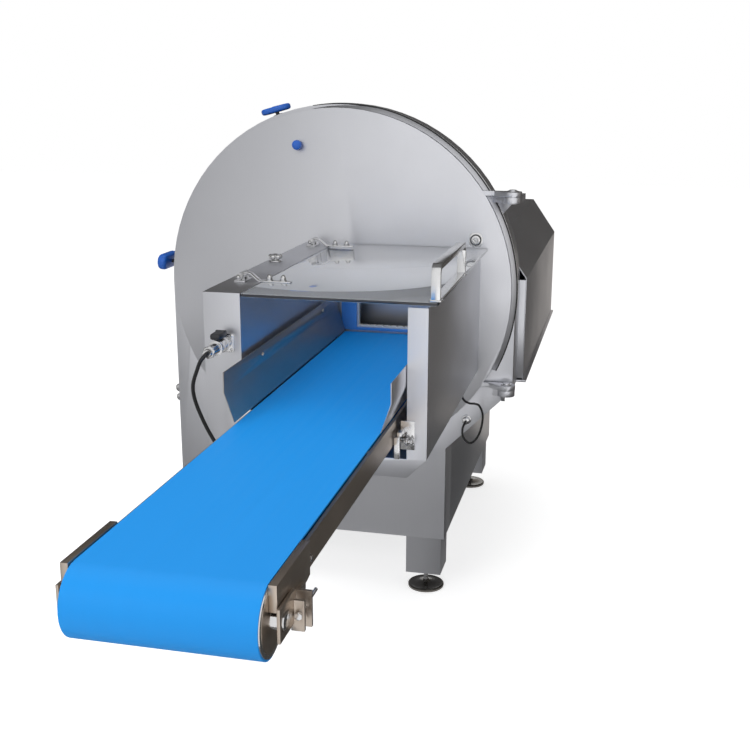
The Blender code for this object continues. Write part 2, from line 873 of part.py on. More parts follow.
def cabinet_shell():
    """Sheet box with its rear open, the deck on top of it and the two rear legs."""
    x = (CABINET_LEFT, CABINET_RIGHT)
    y = (CABINET_FRONT, CABINET_REAR)
    top = DECK_BOTTOM + SHEET / 2
    body = block(x, y, (BASE_BOTTOM, top))
    deck_left = hood_pivot()[0] - HOOD_LUG_THICKNESS
    join(
        body,
        block(
            (deck_left, DECK_RIGHT),
            (CABINET_FRONT + HOOD_FRONT_GAP / 2, DECK_REAR),
            (DECK_BOTTOM, DECK_TOP),
        ),
    )
    slot_x, slot_y = drive_slot()
    cut(
        body,
        block(
            (x[0] + SHEET, x[1] - SHEET),
            (y[0] + SHEET, y[1] + OVERRUN),
            (BASE_BOTTOM + SHEET, DECK_BOTTOM - SHEET / 2),
        ),
        block(slot_x, slot_y, (DECK_BOTTOM - OVERRUN, DECK_TOP + OVERRUN)),
    )
    feet = {}
    front = CABINET_REAR - LEG_REAR_INSET - LEG_WIDTH
    for side, left in leg_lefts().items():
        feet["rear_" + side] = add_leg(body, left, front, LEG_WIDTH, SHEET)
    pivot_x, pivot_z = hood_pivot()
    for middle in hood_hinge_middles():
        start = middle + HOOD_BARREL_LENGTH / 2 + RUN
        join(
            body,
            block(
                (pivot_x - HOOD_LUG_THICKNESS, pivot_x + HOOD_LUG_THICKNESS),
                (start, start + HOOD_LUG_LENGTH),
                (DECK_TOP - WELD, pivot_z + HOOD_BARREL_RADIUS),
            ),
            across(
                pivot_x,
                (middle - HOOD_BARREL_LENGTH / 2, start + WELD),
                pivot_z,
                HOOD_PIN_RADIUS,
                SIDES_SMALL,
            ),
        )
    node(body, "cabinet_shell", "dark_side_steel")
    return feet


def rear_panel():
    """Louvred panel that closes the rear of the cabinet."""
    x = (CABINET_LEFT + REAR_PANEL_INSET, CABINET_RIGHT - REAR_PANEL_INSET)
    z = (BASE_BOTTOM + REAR_PANEL_INSET, DECK_BOTTOM - REAR_PANEL_INSET)
    border = REAR_PANEL_BORDER
    frame = block(
        (CABINET_LEFT, CABINET_RIGHT),
        (CABINET_REAR + FIT, CABINET_REAR + FIT + REAR_PANEL_THICKNESS),
        (BASE_BOTTOM, DECK_BOTTOM - FIT),
    )
    join(
        frame,
        block(
            (x[0] + border, x[1] - border),
            (CABINET_REAR + FIT + WELD, CABINET_REAR + FIT + REAR_PANEL_THICKNESS * 2),
            (z[0] + border, z[1] - border),
            edge=REAR_PANEL_THICKNESS / 2,
        ),
    )
    half = (x[1] - x[0]) * LOUVRE_LENGTH_SHARE / 2
    middle = sum(x) / 2
    field = (z[1] - z[0]) * LOUVRE_FIELD_SHARE
    for index in range(LOUVRE_COUNT):
        low = between(sum(z) / 2 - field / 2, sum(z) / 2 + field / 2, index / (LOUVRE_COUNT - 1))
        cut(
            frame,
            block(
                (middle - half, middle + half),
                (CABINET_REAR - OVERRUN, CABINET_REAR + OVERRUN + REAR_PANEL_THICKNESS),
                (low - LOUVRE_HEIGHT / 2, low + LOUVRE_HEIGHT / 2),
            ),
        )
    node(frame, "rear_panel", "dark_side_steel")


def foot(name, middle):
    """Levelling foot: pad, stud through the leg, and a nut under it."""
    top = LEG_BOTTOM + STUD_REACH
    profile = [
        (0, top),
        (STUD_RADIUS, top),
        (STUD_RADIUS, FLOOR + FOOT_HEIGHT),
        (FOOT_NECK_RADIUS, FLOOR + FOOT_HEIGHT),
        (FOOT_RADIUS, FLOOR + FOOT_EDGE),
        (FOOT_RADIUS, FLOOR),
        (0, FLOOR),
    ]
    carrier = group("turn_foot_" + name, (*middle, FLOOR), "machine")
    pad = turned(profile, (*middle, 0), Z_AXIS)
    nut_top = LEG_BOTTOM - FOOT_NUT_DROP
    join(
        pad,
        rod(
            (*middle, nut_top - FOOT_NUT_HEIGHT), (*middle, nut_top), FOOT_NUT_RADIUS, sides=6
        ),
    )
    node(pad, "foot_" + name, "polished_steel", carrier.name)


def hinge_bracket_upper():
    """Boss, gusset and pin that carry the door's upper arm, bolted round the housing's rim."""
    top = HINGE_ARM_UPPER - FIT
    bottom = top - HINGE_BOSS_HEIGHT
    radius = HINGE_EYE_RADIUS - RUN
    right = HINGE_X + radius
    web = [
        (BRACKET_ROOT, HOUSING_FRONT),
        (HINGE_X - radius, HINGE_Y),
        (right, HINGE_Y),
        (right, BRACKET_REAR),
        (BRACKET_ROOT, BRACKET_REAR),
    ]
    body = plate(web, "XY", bottom, top)
    drop = bottom - GUSSET_DROP
    middle = (HOUSING_FRONT + BRACKET_REAR) / 2
    gusset = [
        (BRACKET_ROOT, bottom + WELD),
        (BRACKET_ROOT + GUSSET_DROP / 2, drop),
        (right - radius, bottom + WELD),
    ]
    join(
        body,
        rod((HINGE_X, HINGE_Y, bottom), (HINGE_X, HINGE_Y, top), radius),
        plate(gusset, "XZ", middle - GUSSET_THICKNESS / 2, middle + GUSSET_THICKNESS / 2),
        hinge_pin(top),
    )
    cut(
        body,
        across(
            0,
            (HOUSING_FRONT - OVERRUN * 2, HOUSING_REAR + OVERRUN),
            0,
            HOUSING_RADIUS + FIT,
            SIDES_DISC,
        ),
    )
    node(body, "hinge_bracket_upper", "satin_steel")


def hinge_pin(bottom):
    """Pin that stands on a bracket and passes through an arm."""
    top = bottom + FIT + HINGE_ARM_THICKNESS + HINGE_PIN_HEAD
    return rod(
        (HINGE_X, HINGE_Y, bottom - WELD), (HINGE_X, HINGE_Y, top), HINGE_PIN_RADIUS
    )


def hinge_bracket_lower():
    """Boss and pin under the lower arm, on a pad that is bolted to the front plate."""
    top = HINGE_ARM_LOWER - FIT
    bottom = top - HINGE_BOSS_HEIGHT
    radius = HINGE_EYE_RADIUS - RUN
    rear = HOUSING_FRONT - FIT
    body = block(
        (LOWER_PAD_LEFT, LOWER_PAD_RIGHT),
        (rear - LOWER_PAD_THICKNESS, rear),
        (top - LOWER_PAD_DROP, top),
    )
    middle = (LOWER_PAD_LEFT + LOWER_PAD_RIGHT) / 2
    gusset = [
        (HINGE_Y - radius / 2, bottom + WELD),
        (rear - WELD, bottom + WELD),
        (rear - WELD, bottom - GUSSET_DROP / 2),
    ]
    join(
        body,
        rod((HINGE_X, HINGE_Y, bottom), (HINGE_X, HINGE_Y, top), radius),
        plate(gusset, "YZ", middle, middle + GUSSET_THICKNESS),
        hinge_pin(top),
    )
    node(body, "hinge_bracket_lower", "satin_steel")


def cable_gland():
    """Gland on the housing's front plate for the right cable."""
    rear = HOUSING_FRONT - FIT
    body = across(GLAND_X, (rear - GLAND_LENGTH, rear), GLAND_Z, GLAND_RADIUS, sides=6)
    join(
        body,
        across(
            GLAND_X,
            (rear - GLAND_LENGTH / 4, rear),
            GLAND_Z,
            GLAND_RADIUS + GLAND_RADIUS / 4,
            SIDES_SMALL,
        ),
    )
    node(body, "cable_gland", "polished_steel")


def bearing_housing():
    """Flanged bearing tube behind the back plate."""
    front = BACK_REAR + FIT
    bore = SHAFT_RADIUS + RUN
    length = BEARING_REAR - front
    profile = [
        (BEARING_FLANGE_RADIUS, 0),
        (BEARING_FLANGE_RADIUS, -BEARING_FLANGE_THICKNESS),
        (BEARING_RADIUS, -BEARING_FLANGE_THICKNESS),
        (BEARING_RADIUS, -length),
        (bore, -length),
        (bore, 0),
    ]
    node(
        turned(profile, (0, front, 0), -Y_AXIS, ring=True), "bearing_housing", "cast_iron_grey"
    )


def blade_motor():
    """Motor in the cabinet, with its foot on the cabinet's floor."""
    rear = MOTOR_FRONT + MOTOR_LENGTH
    body = across(0, (MOTOR_FRONT, rear), -MOTOR_DROP, MOTOR_RADIUS)
    half = MOTOR_FOOT_WIDTH / 2
    join(
        body,
        block(
            (-half, half),
            (MOTOR_FRONT + MOTOR_SHAFT_GRIP, rear - MOTOR_SHAFT_GRIP),
            (BASE_BOTTOM + SHEET + FIT, -MOTOR_DROP),
        ),
    )
    cut(
        body,
        across(
            0,
            (MOTOR_FRONT - OVERRUN, MOTOR_FRONT + MOTOR_SHAFT_GRIP + RUN),
            -MOTOR_DROP,
            MOTOR_SHAFT_RADIUS + RUN,
        ),
    )
    node(body, "blade_motor", "cast_iron_grey")


def pulley_profile(radius, bore=0):
    """Flanged pulley from its front face, height falling to the rear."""
    flange = radius + DRIVE_BELT_THICKNESS
    rear = -PULLEY_WIDTH
    return [
        (bore, 0),
        (flange, 0),
        (flange, -PULLEY_FLANGE),
        (radius, -PULLEY_FLANGE),
        (radius, rear + PULLEY_FLANGE),
        (flange, rear + PULLEY_FLANGE),
        (flange, rear),
        (bore, rear),
    ]


def drive_belt():
    """Belt from the motor pulley up to the blade pulley."""
    inner = [((0, -MOTOR_DROP), MOTOR_PULLEY_RADIUS + FIT), ((0, 0), PULLEY_RADIUS + FIT)]
    outer = [(centre, radius + DRIVE_BELT_THICKNESS) for centre, radius in inner]
    middle = PULLEY_FRONT + PULLEY_WIDTH / 2
    body = plate(
        loop_round(outer, SIDES_SMALL),
        "XZ",
        middle - DRIVE_BELT_WIDTH / 2,
        middle + DRIVE_BELT_WIDTH / 2,
        [loop_round(inner, SIDES_SMALL)],
    )
    node(body, "drive_belt", "black_rubber")


def blade_outline():
    """Sickle: a spiral edge from heel to tip, turned so that its heavy side hangs down."""
    outline = []
    for step in range(BLADE_STEPS + 1):
        share = step / BLADE_STEPS
        radius = between(BLADE_HEEL, BLADE_REACH, share)
        angle = -BLADE_SWEEP * share
        outline.append(Vector((radius * math.cos(angle), radius * math.sin(angle))))
    outline.reverse()
    area = 0
    moment = Vector((0, 0))
    for first, second in zip(outline, outline[1:] + outline[:1]):
        cross = first.x * second.y - second.x * first.y
        area += cross / 2
        moment += (first + second) * cross
    centroid = moment / area
    turn = Matrix.Rotation(-math.pi / 2 - math.atan2(centroid.y, centroid.x), 2)
    return [tuple(turn @ point) for point in outline]


def blade_place():
    rear = BACK_FRONT - BLADE_GAP
    return rear - BLADE_THICKNESS, rear


def blade_group():
    """Blade, its shaft with clamp disc and collar, and the driven pulley."""
    carrier = group("spin_blade", (0, 0, 0), "machine").name
    front, rear = blade_place()
    body = plate(blade_outline(), "XZ", front, rear)
    hole = SHAFT_RADIUS + FIT
    join(body, across(0, (front, rear), 0, CLAMP_DISC_RADIUS))
    cut(body, across(0, (front - OVERRUN, rear + OVERRUN), 0, hole))
    node(body, "blade", "polished_steel", carrier)
    disc_rear = front - FIT
    disc_front = disc_rear - CLAMP_DISC_THICKNESS
    collar_front = rear + FIT
    heights = [
        (0, disc_front),
        (CLAMP_DISC_RADIUS, disc_front),
        (CLAMP_DISC_RADIUS, disc_rear),
        (SHAFT_RADIUS, disc_rear),
        (SHAFT_RADIUS, collar_front),
        (COLLAR_RADIUS, collar_front),
        (COLLAR_RADIUS, collar_front + COLLAR_LENGTH),
        (SHAFT_RADIUS, collar_front + COLLAR_LENGTH),
        (SHAFT_RADIUS, SHAFT_REAR),
        (0, SHAFT_REAR),
    ]
    shaft = turned([(radius, -place) for radius, place in heights], (0, 0, 0), -Y_AXIS)
    node(shaft, "blade_shaft", "polished_steel", carrier)
    pulley = turned(
        pulley_profile(PULLEY_RADIUS, SHAFT_RADIUS + FIT),
        (0, PULLEY_FRONT, 0),
        -Y_AXIS,
        ring=True,
    )
    node(pulley, "blade_pulley", "cast_iron_grey", carrier)


def motor_pulley():
    carrier = group("spin_motor", (0, 0, -MOTOR_DROP), "machine").name
    body = turned(pulley_profile(MOTOR_PULLEY_RADIUS), (0, PULLEY_FRONT, -MOTOR_DROP), -Y_AXIS)
    join(
        body,
        across(
            0,
            (PULLEY_FRONT + PULLEY_WIDTH / 2, MOTOR_FRONT + MOTOR_SHAFT_GRIP),
            -MOTOR_DROP,
            MOTOR_SHAFT_RADIUS,
        ),
    )
    node(body, "motor_pulley", "cast_iron_grey", carrier)


def trough_limits():
    """Inner x limits and floor height of the trough."""
    return (
        (WINDOW_LEFT - TROUGH_SIDE_GAP, WINDOW_RIGHT + TROUGH_SIDE_GAP),
        PORT_BOTTOM - TROUGH_SIDE_GAP,
    )


def rod_places():
    middle = (WINDOW_LEFT + WINDOW_RIGHT) / 2
    return {
        "left": middle - ROD_SPACING / 2,
        "middle": middle,
        "right": middle + ROD_SPACING / 2,
    }


def infeed_trough():
    """Open channel for the meat, with its supports on the deck and the end bracket."""
    x, floor = trough_limits()
    y = (BACK_REAR + TROUGH_FRONT_GAP, TROUGH_REAR + END_BRACKET_THICKNESS)
    outer_x = (x[0] - TROUGH_WALL, x[1] + TROUGH_WALL)
    body = block(outer_x, y, (floor - TROUGH_WALL, TROUGH_SIDE_TOP))
    cut(body, block(x, (y[0] - OVERRUN, TROUGH_REAR), (floor, TROUGH_SIDE_TOP + OVERRUN)))
    places = [between(y[0], TROUGH_REAR, share) for share in TROUGH_SUPPORT_SHARES]
    for place in places:
        join(
            body,
            block(
                outer_x,
                (place, place + TROUGH_SUPPORT_THICKNESS),
                (DECK_TOP + FIT, floor - TROUGH_WALL + WELD),
            ),
        )
    join(
        body,
        block(
            outer_x,
            (TROUGH_REAR, TROUGH_REAR + END_BRACKET_THICKNESS),
            (TROUGH_SIDE_TOP - WELD, END_BRACKET_TOP),
        ),
    )
    cut(
        body,
        across(
            rod_places()["middle"],
            (TROUGH_REAR - OVERRUN, y[1] + OVERRUN),
            ROD_HEIGHT,
            SCREW_RADIUS + RUN,
        ),
    )
    node(body, "infeed_trough", "satin_steel")


def guide_rods():
    for side in ("left", "right"):
        body = across(
            rod_places()[side], (BACK_REAR + FIT, TROUGH_REAR - FIT), ROD_HEIGHT, ROD_RADIUS,
            SIDES_SMALL,
        )
        node(body, "guide_rod_" + side, "polished_steel")


def feed_motor():
    """Square motor behind the end bracket, with a bore for the screw's end."""
    x = rod_places()["middle"]
    half = FEED_MOTOR_SIZE / 2
    front = TROUGH_REAR + END_BRACKET_THICKNESS + FIT
    body = block(
        (x - half, x + half),
        (front, front + FEED_MOTOR_LENGTH),
        (ROD_HEIGHT - half, ROD_HEIGHT + half),
        edge=FEED_MOTOR_SIZE / 12,
    )
    cut(
        body,
        across(
            x, (front - OVERRUN, front + FEED_MOTOR_BORE_DEPTH), ROD_HEIGHT, SCREW_RADIUS + RUN
        ),
    )
    node(body, "feed_motor", "cast_iron_grey")


def lead_screw():
    x = rod_places()["middle"]
    carrier = group("turn_lead_screw", (x, BACK_REAR, ROD_HEIGHT), "machine").name
    end = TROUGH_REAR + END_BRACKET_THICKNESS + FIT + FEED_MOTOR_BORE_DEPTH - RUN
    body = across(x, (BACK_REAR + FIT, end), ROD_HEIGHT, SCREW_RADIUS)
    node(body, "lead_screw", "polished_steel", carrier)


def pusher():
    """Pusher plate with teeth on its front and a carriage on the rods."""
    x = (WINDOW_LEFT + PUSHER_MARGIN, WINDOW_RIGHT - PUSHER_MARGIN)
    z = (PORT_BOTTOM + PUSHER_MARGIN, PORT_TOP - PUSHER_MARGIN)
    middle = rod_places()["middle"]
    carrier = group("slide_pusher", (middle, PUSHER_REST, ROD_HEIGHT), "machine").name
    rear = PUSHER_REST + CARRIAGE_LENGTH
    body = block(x, (PUSHER_REST, PUSHER_REST + PUSHER_THICKNESS), z)
    half = CARRIAGE_WIDTH / 2
    carriage_z = (ROD_HEIGHT - CARRIAGE_HEIGHT / 2, ROD_HEIGHT + CARRIAGE_HEIGHT / 2)
    join(
        body,
        block((middle - half, middle + half), (PUSHER_REST, rear), carriage_z),
        block(
            (middle - half / 2, middle + half / 2),
            (PUSHER_REST, PUSHER_REST + PUSHER_THICKNESS),
            (z[1] - PUSHER_MARGIN, carriage_z[0] + WELD),
        ),
    )
    for column_share in (-0.35, 0, 0.35):
        for row_share in (0.25, 0.65):
            place = (middle + column_share * (x[1] - x[0]), between(*z, row_share))
            join(
                body,
                rod(
                    (place[0], PUSHER_REST + WELD, place[1]),
                    (place[0], PUSHER_REST - PUSHER_TOOTH, place[1]),
                    PUSHER_TOOTH_RADIUS,
                    sides=8,
                    end_radius=PUSHER_TOOTH_RADIUS / 4,
                ),
            )
    bores = (PUSHER_REST - OVERRUN, rear + OVERRUN)
    for name, place in rod_places().items():
        radius = SCREW_RADIUS if name == "middle" else ROD_RADIUS
        cut(body, across(place, bores, ROD_HEIGHT, radius + RUN, SIDES_SMALL))
    node(body, "pusher", "satin_steel", carrier)


def hood_outline():
    return [
        (HOOD_LEFT, HOOD_BOTTOM),
        (HOOD_RIGHT, HOOD_BOTTOM),
        (HOOD_RIGHT, HOOD_TOP - HOOD_CHAMFER_HEIGHT),
        (HOOD_RIGHT - HOOD_CHAMFER_WIDTH, HOOD_TOP),
        (HOOD_LEFT + HOOD_CHAMFER_WIDTH, HOOD_TOP),
        (HOOD_LEFT, HOOD_TOP - HOOD_CHAMFER_HEIGHT),
    ]


def infeed_hood():
    """Sheet cover over the infeed, hinged along its left edge."""
    pivot_x, pivot_z = hood_pivot()
    front = CABINET_FRONT + HOOD_FRONT_GAP
    carrier = group("swing_hood", (pivot_x, front, pivot_z), "machine").name
    body = plate(hood_outline(), "XZ", front, HOOD_REAR)
    hollow = plate(inset(hood_outline(), SHEET), "XZ", front - OVERRUN, HOOD_REAR - SHEET)
    below = block(
        (HOOD_LEFT + SHEET, HOOD_RIGHT - SHEET),
        (front - OVERRUN, HOOD_REAR - SHEET),
        (HOOD_BOTTOM - OVERRUN, HOOD_BOTTOM + SHEET * 2),
    )
    cut(body, hollow, below)
    for middle in hood_hinge_middles():
        limits = (middle - HOOD_BARREL_LENGTH / 2, middle + HOOD_BARREL_LENGTH / 2)
        join(
            body,
            across(pivot_x, limits, pivot_z, HOOD_BARREL_RADIUS, SIDES_SMALL),
            block(
                (pivot_x, HOOD_LEFT + WELD),
                limits,
                (pivot_z, pivot_z + HOOD_BARREL_RADIUS - WELD),
            ),
        )
        cut(
            body,
            across(
                pivot_x,
                (limits[0] - OVERRUN, limits[1] + OVERRUN),
                pivot_z,
                HOOD_PIN_RADIUS + FIT,
                SIDES_SMALL,
            ),
        )
    node(body, "infeed_hood", "dark_side_steel", carrier)


def latch(name, angle, lengthwise):
    """Turning handle on the housing's rim, with its stem through the wall and a cam inside.
    Built along z above the blade axis, then turned to its place on the rim."""
    centre = (0, LATCH_Y, HOUSING_RADIUS)
    low = HOUSING_RADIUS + LATCH_GAP
    along_x, along_y = (
        (LATCH_WIDTH, LATCH_LENGTH) if lengthwise else (LATCH_LENGTH, LATCH_WIDTH)
    )
    body = block(
        (-along_x / 2, along_x / 2),
        (LATCH_Y - along_y / 2, LATCH_Y + along_y / 2),
        (low, low + LATCH_THICKNESS),
        edge=LATCH_EDGE,
    )
    cam_top = HOUSING_RADIUS - HOUSING_WALL - CAM_GAP
    cam_x, cam_y = (CAM_WIDTH, CAM_LENGTH) if lengthwise else (CAM_LENGTH, CAM_WIDTH)
    join(
        body,
        across(
            0,
            LATCH_Y,
            (cam_top - CAM_THICKNESS / 2, low + LATCH_THICKNESS / 2),
            LATCH_STEM_RADIUS,
            SIDES_SMALL,
        ),
        block(
            (-cam_x / 2, cam_x / 2),
            (LATCH_Y - cam_y / 2, LATCH_Y + cam_y / 2),
            (cam_top - CAM_THICKNESS, cam_top),
        ),
    )
    turned_about(body, (0, 0, 0), "Y", math.pi / 2 - angle)
    axis = latch_axis(angle)
    place = axis * HOUSING_RADIUS + Vector((0, centre[1], 0))
    carrier = group("turn_" + name, place, "machine").name
    node(body, name, "handle_blue", carrier)


def door_arm(underside):
    """Flat arm from the door's rim to its hinge eye."""
    radius = HINGE_EYE_RADIUS
    outline = [
        (HINGE_ARM_ROOT, DOOR_DEPTH),
        (HINGE_ARM_ROOT, 0),
        (HINGE_X - 2 * radius, 0),
    ]
    outline += arc((HINGE_X, HINGE_Y), radius, math.pi * 5 / 4, math.pi * 5 / 2, SIDES_SMALL)
    outline.append((HINGE_X - radius, DOOR_DEPTH))
    arm = plate(outline, "XY", underside, underside + HINGE_ARM_THICKNESS)
    return cut(
        arm,
        across(
            HINGE_X,
            HINGE_Y,
            (underside - OVERRUN, underside + HINGE_ARM_THICKNESS + OVERRUN),
            HINGE_PIN_RADIUS + FIT,
        ),
    )


def door_panel():
    """Round sheet with a rim flange, a border round its window and the two hinge arms."""
    body = across(0, (0, DOOR_DEPTH), 0, DOOR_RADIUS, SIDES_DISC)
    join(body, door_arm(HINGE_ARM_UPPER), door_arm(HINGE_ARM_LOWER))
    cut(
        body, across(0, (SHEET, DOOR_DEPTH + OVERRUN), 0, DOOR_RADIUS - SHEET, SIDES_DISC)
    )
    window_x = (WINDOW_LEFT, WINDOW_RIGHT)
    window_z = (WINDOW_BOTTOM, WINDOW_TOP)
    border = WINDOW_BORDER
    join(
        body,
        block(
            (window_x[0] - border, window_x[1] + border),
            (WELD, DOOR_DEPTH),
            (window_z[0] - border, window_z[1] + border),
        ),
    )
    cut(body, block(window_x, (-OVERRUN, DOOR_DEPTH + OVERRUN), window_z))
    node(body, "door_panel", "satin_steel", "door")


def door_seal():
    outer = DOOR_RADIUS - SHEET - FIT
    body = plate(
        circle((0, 0), outer, SIDES_DISC),
        "XZ",
        SHEET + FIT,
        HOUSING_FRONT - FIT,
        [circle((0, 0), outer - SEAL_WIDTH, SIDES_DISC)],
    )
    node(body, "door_seal", "black_rubber", "door")


def window_frame():
    """Plastic frame in the door's window, its lower edge toothed to comb the slices off."""
    x = (WINDOW_LEFT + FIT, WINDOW_RIGHT - FIT)
    z = (WINDOW_BOTTOM + FIT, WINDOW_TOP - FIT)
    y = (-FRAME_FRONT, DOOR_DEPTH)
    body = block(x, y, z)
    inner_x = (x[0] + FRAME_BORDER, x[1] - FRAME_BORDER)
    inner_z = (z[0] + FRAME_BORDER, z[1] - FRAME_BORDER)
    cut(body, block(inner_x, (y[0] - OVERRUN, y[1] + OVERRUN), inner_z))
    count = int((inner_x[1] - inner_x[0]) / TOOTH_PITCH)
    for index in range(count):
        place = inner_x[0] + (index + 1 / 2) * TOOTH_PITCH
        cut(
            body,
            across(place, (y[0] - OVERRUN, y[1] + OVERRUN), inner_z[0], TOOTH_RADIUS / 2, sides=8),
        )
    node(body, "window_frame", "white_plastic", "door")


def blue_strip():
    """L-shaped wear strip beside and under the window."""
    rear = -FRAME_FRONT - FIT
    side_right = WINDOW_LEFT - FIT
    low_top = WINDOW_BOTTOM - FIT
    outline = [
        (STRIP_LEFT, STRIP_BOTTOM),
        (WINDOW_RIGHT, STRIP_BOTTOM),
        (WINDOW_RIGHT, low_top),
        (side_right, low_top),
        (side_right, STRIP_TOP),
        (STRIP_LEFT, STRIP_TOP),
    ]
    body = plate(outline, "XZ", rear - STRIP_THICKNESS, -FIT)
    node(body, "blue_strip", "belt_blue", "door")


def lid_stop():
    """Rubber buffer on the door that the open lid rests against."""
    length = STOP_LENGTH
    profile = [
        (0, length),
        (STOP_RADIUS * 3 / 5, length),
        (STOP_RADIUS, length * 4 / 5),
        (STOP_RADIUS, FIT),
        (0, FIT),
    ]
    body = turned(profile, (STOP_X, 0, STOP_Z), -Y_AXIS)
    node(body, "lid_stop", "handle_blue", "door")


def guard_outline():
    return [
        (GUARD_LEFT + GUARD_CHAMFER, GUARD_FACE_BOTTOM),
        (GUARD_RIGHT - GUARD_CHAMFER, GUARD_FACE_BOTTOM),
        (GUARD_RIGHT, GUARD_FACE_BOTTOM + GUARD_CHAMFER),
        (GUARD_RIGHT, GUARD_RIGHT_TOP),
        (POST_LEFT_INNER, GUARD_RIGHT_TOP),
        (POST_LEFT_INNER, GUARD_TOP),
        (GUARD_LEFT, GUARD_TOP),
        (GUARD_LEFT, GUARD_FACE_BOTTOM + GUARD_CHAMFER),
    ]


def guard_frame():
    """Channel on the door: a hollow left side, a folded right side, a pan and a front face."""
    front = -GUARD_DEPTH
    behind = front + SHEET
    body = plate(guard_outline(), "XZ", front, -FIT)
    above = GUARD_TOP + OVERRUN
    pan = GUARD_SIDE_BOTTOM + SHEET
    rear = OVERRUN
    cut(
        body,
        block((POST_LEFT_INNER, GUARD_RIGHT - SHEET), (behind, rear), (pan, above)),
        block(
            (POST_LEFT_INNER, POST_RIGHT_INNER),
            (front - OVERRUN, behind + OVERRUN),
            (GUARD_LIP_TOP, above),
        ),
        block(
            (GUARD_LEFT + SHEET, POST_LEFT_INNER - SHEET),
            (behind, rear),
            (pan, GUARD_TOP - SHEET),
        ),
        block(
            (GUARD_LEFT - OVERRUN, GUARD_RIGHT + OVERRUN),
            (behind, rear),
            (GUARD_FACE_BOTTOM - OVERRUN, GUARD_SIDE_BOTTOM),
        ),
    )
    join(
        body,
        across(
            GUARD_GLAND_X,
            (front - GUARD_GLAND_LENGTH, front + WELD),
            GUARD_GLAND_Z,
            GUARD_GLAND_RADIUS,
            sides=6,
        ),
    )
    node(body, "guard_frame", "dark_side_steel", "door")


def guide(side):
    """Folded side guide: a foot that leans out from the belt's edge and an upright top."""
    edge = sided(side, BELT_RIGHT + GUIDE_FOOT_OUT)
    outwards = 1 if side == "right" else -1
    bend = edge + outwards * GUIDE_LEAN
    low = BELT_TOP + GUIDE_FOOT_GAP
    sheet = outwards * GUIDE_SHEET
    outline = [
        (edge, low),
        (edge + sheet, low),
        (bend + sheet, GUIDE_BEND),
        (bend + sheet, GUIDE_TOP),
        (bend, GUIDE_TOP),
        (bend, GUIDE_BEND),
    ]
    body = plate(outline, "XZ", GUIDE_FRONT, GUIDE_REAR)
    wall = GUARD_RIGHT - SHEET if side == "right" else POST_LEFT_INNER
    height = (GUIDE_BEND + GUIDE_TOP) / 2
    for place in GUIDE_SCREW_YS:
        limits = sorted((bend + sheet / 2, wall - outwards * FIT))
        join(
            body,
            across(tuple(limits), place, height, GUIDE_SPACER_RADIUS, SIDES_SMALL),
            across(
                tuple(sorted((bend - outwards * GUIDE_HEAD_HEIGHT, bend + sheet / 2))),
                place,
                height,
                GUIDE_HEAD_RADIUS,
                SIDES_SMALL,
            ),
        )
    node(body, "guide_" + side, "satin_steel", "door")


def lock_sensor():
    """Oblong plate with a round sensor head on the door face."""
    half = SENSOR_PLATE_WIDTH / 2
    body = plate(
        rounded_rectangle(
            (SENSOR_X - half, SENSOR_X + half),
            (SENSOR_PLATE_BOTTOM, SENSOR_Z + half),
            half - RUN,
            steps=6,
        ),
        "XZ",
        -FIT - SENSOR_PLATE_THICKNESS,
        -FIT,
    )
    join(
        body,
        across(
            SENSOR_X,
            (-FIT - SENSOR_PLATE_THICKNESS - SENSOR_HEIGHT, -FIT - WELD),
            SENSOR_Z,
            SENSOR_RADIUS,
        ),
    )
    node(body, "lock_sensor", "polished_steel", "door")


def socket():
    """Square flange and barrel on the guard's left post."""
    rear = -GUARD_DEPTH - FIT
    half = SOCKET_FLANGE / 2
    body = plate(
        rounded_rectangle(
            (SOCKET_X - half, SOCKET_X + half),
            (SOCKET_Z - half, SOCKET_Z + half),
            SOCKET_CORNER,
        ),
        "XZ",
        rear - SOCKET_FLANGE_THICKNESS,
        rear,
    )
    join(
        body,
        across(
            SOCKET_X,
            (socket_front(), rear - WELD),
            SOCKET_Z,
            SOCKET_BARREL_RADIUS,
        ),
    )
    node(body, "socket", "polished_steel", "door")


def socket_front():
    return -GUARD_DEPTH - FIT - SOCKET_FLANGE_THICKNESS - SOCKET_BARREL_LENGTH


def plug():
    """Round plug with a stepped neck that the left cable leaves."""
    rear = socket_front() - FIT
    step = PLUG_LENGTH / 4
    groove = PLUG_RADIUS - RUN * 2
    neck_end = PLUG_LENGTH + PLUG_NECK_LENGTH
    profile = [
        (0, neck_end),
        (CABLE_LEFT_RADIUS + RUN * 2, neck_end),
        (PLUG_NECK_RADIUS, neck_end - step / 2),
        (PLUG_NECK_RADIUS, PLUG_LENGTH),
        (PLUG_RADIUS, PLUG_LENGTH),
        (PLUG_RADIUS, PLUG_LENGTH - step),
        (groove, PLUG_LENGTH - step),
        (groove, step),
        (PLUG_RADIUS, step),
        (PLUG_RADIUS, 0),
        (0, 0),
    ]
    node(
        turned(profile, (SOCKET_X, rear, SOCKET_Z), -Y_AXIS), "plug", "polished_steel", "door"
    )


def plug_end():
    return socket_front() - FIT - PLUG_LENGTH - PLUG_NECK_LENGTH


def plug_lever():
    """Wing lever that locks the plug, above it and pivoted at its rear."""
    rear = socket_front() - FIT - RUN
    bottom = SOCKET_Z + PLUG_RADIUS + LEVER_GAP
    pivot = (SOCKET_X, rear - LEVER_HEIGHT / 2, bottom + LEVER_HEIGHT / 2)
    carrier = group("lift_plug_lever", pivot, "door").name
    half = LEVER_WIDTH / 2
    body = block(
        (SOCKET_X - half, SOCKET_X + half),
        (rear - LEVER_LENGTH, pivot[1] + LEVER_EDGE),
        (bottom + RUN, bottom + LEVER_HEIGHT - RUN),
        edge=LEVER_EDGE,
    )
    barrel = (SOCKET_X - half + WELD, SOCKET_X + half - WELD)
    join(body, across(barrel, pivot[1], pivot[2], LEVER_HEIGHT / 2))
    node(body, "plug_lever", "black_plastic", carrier)


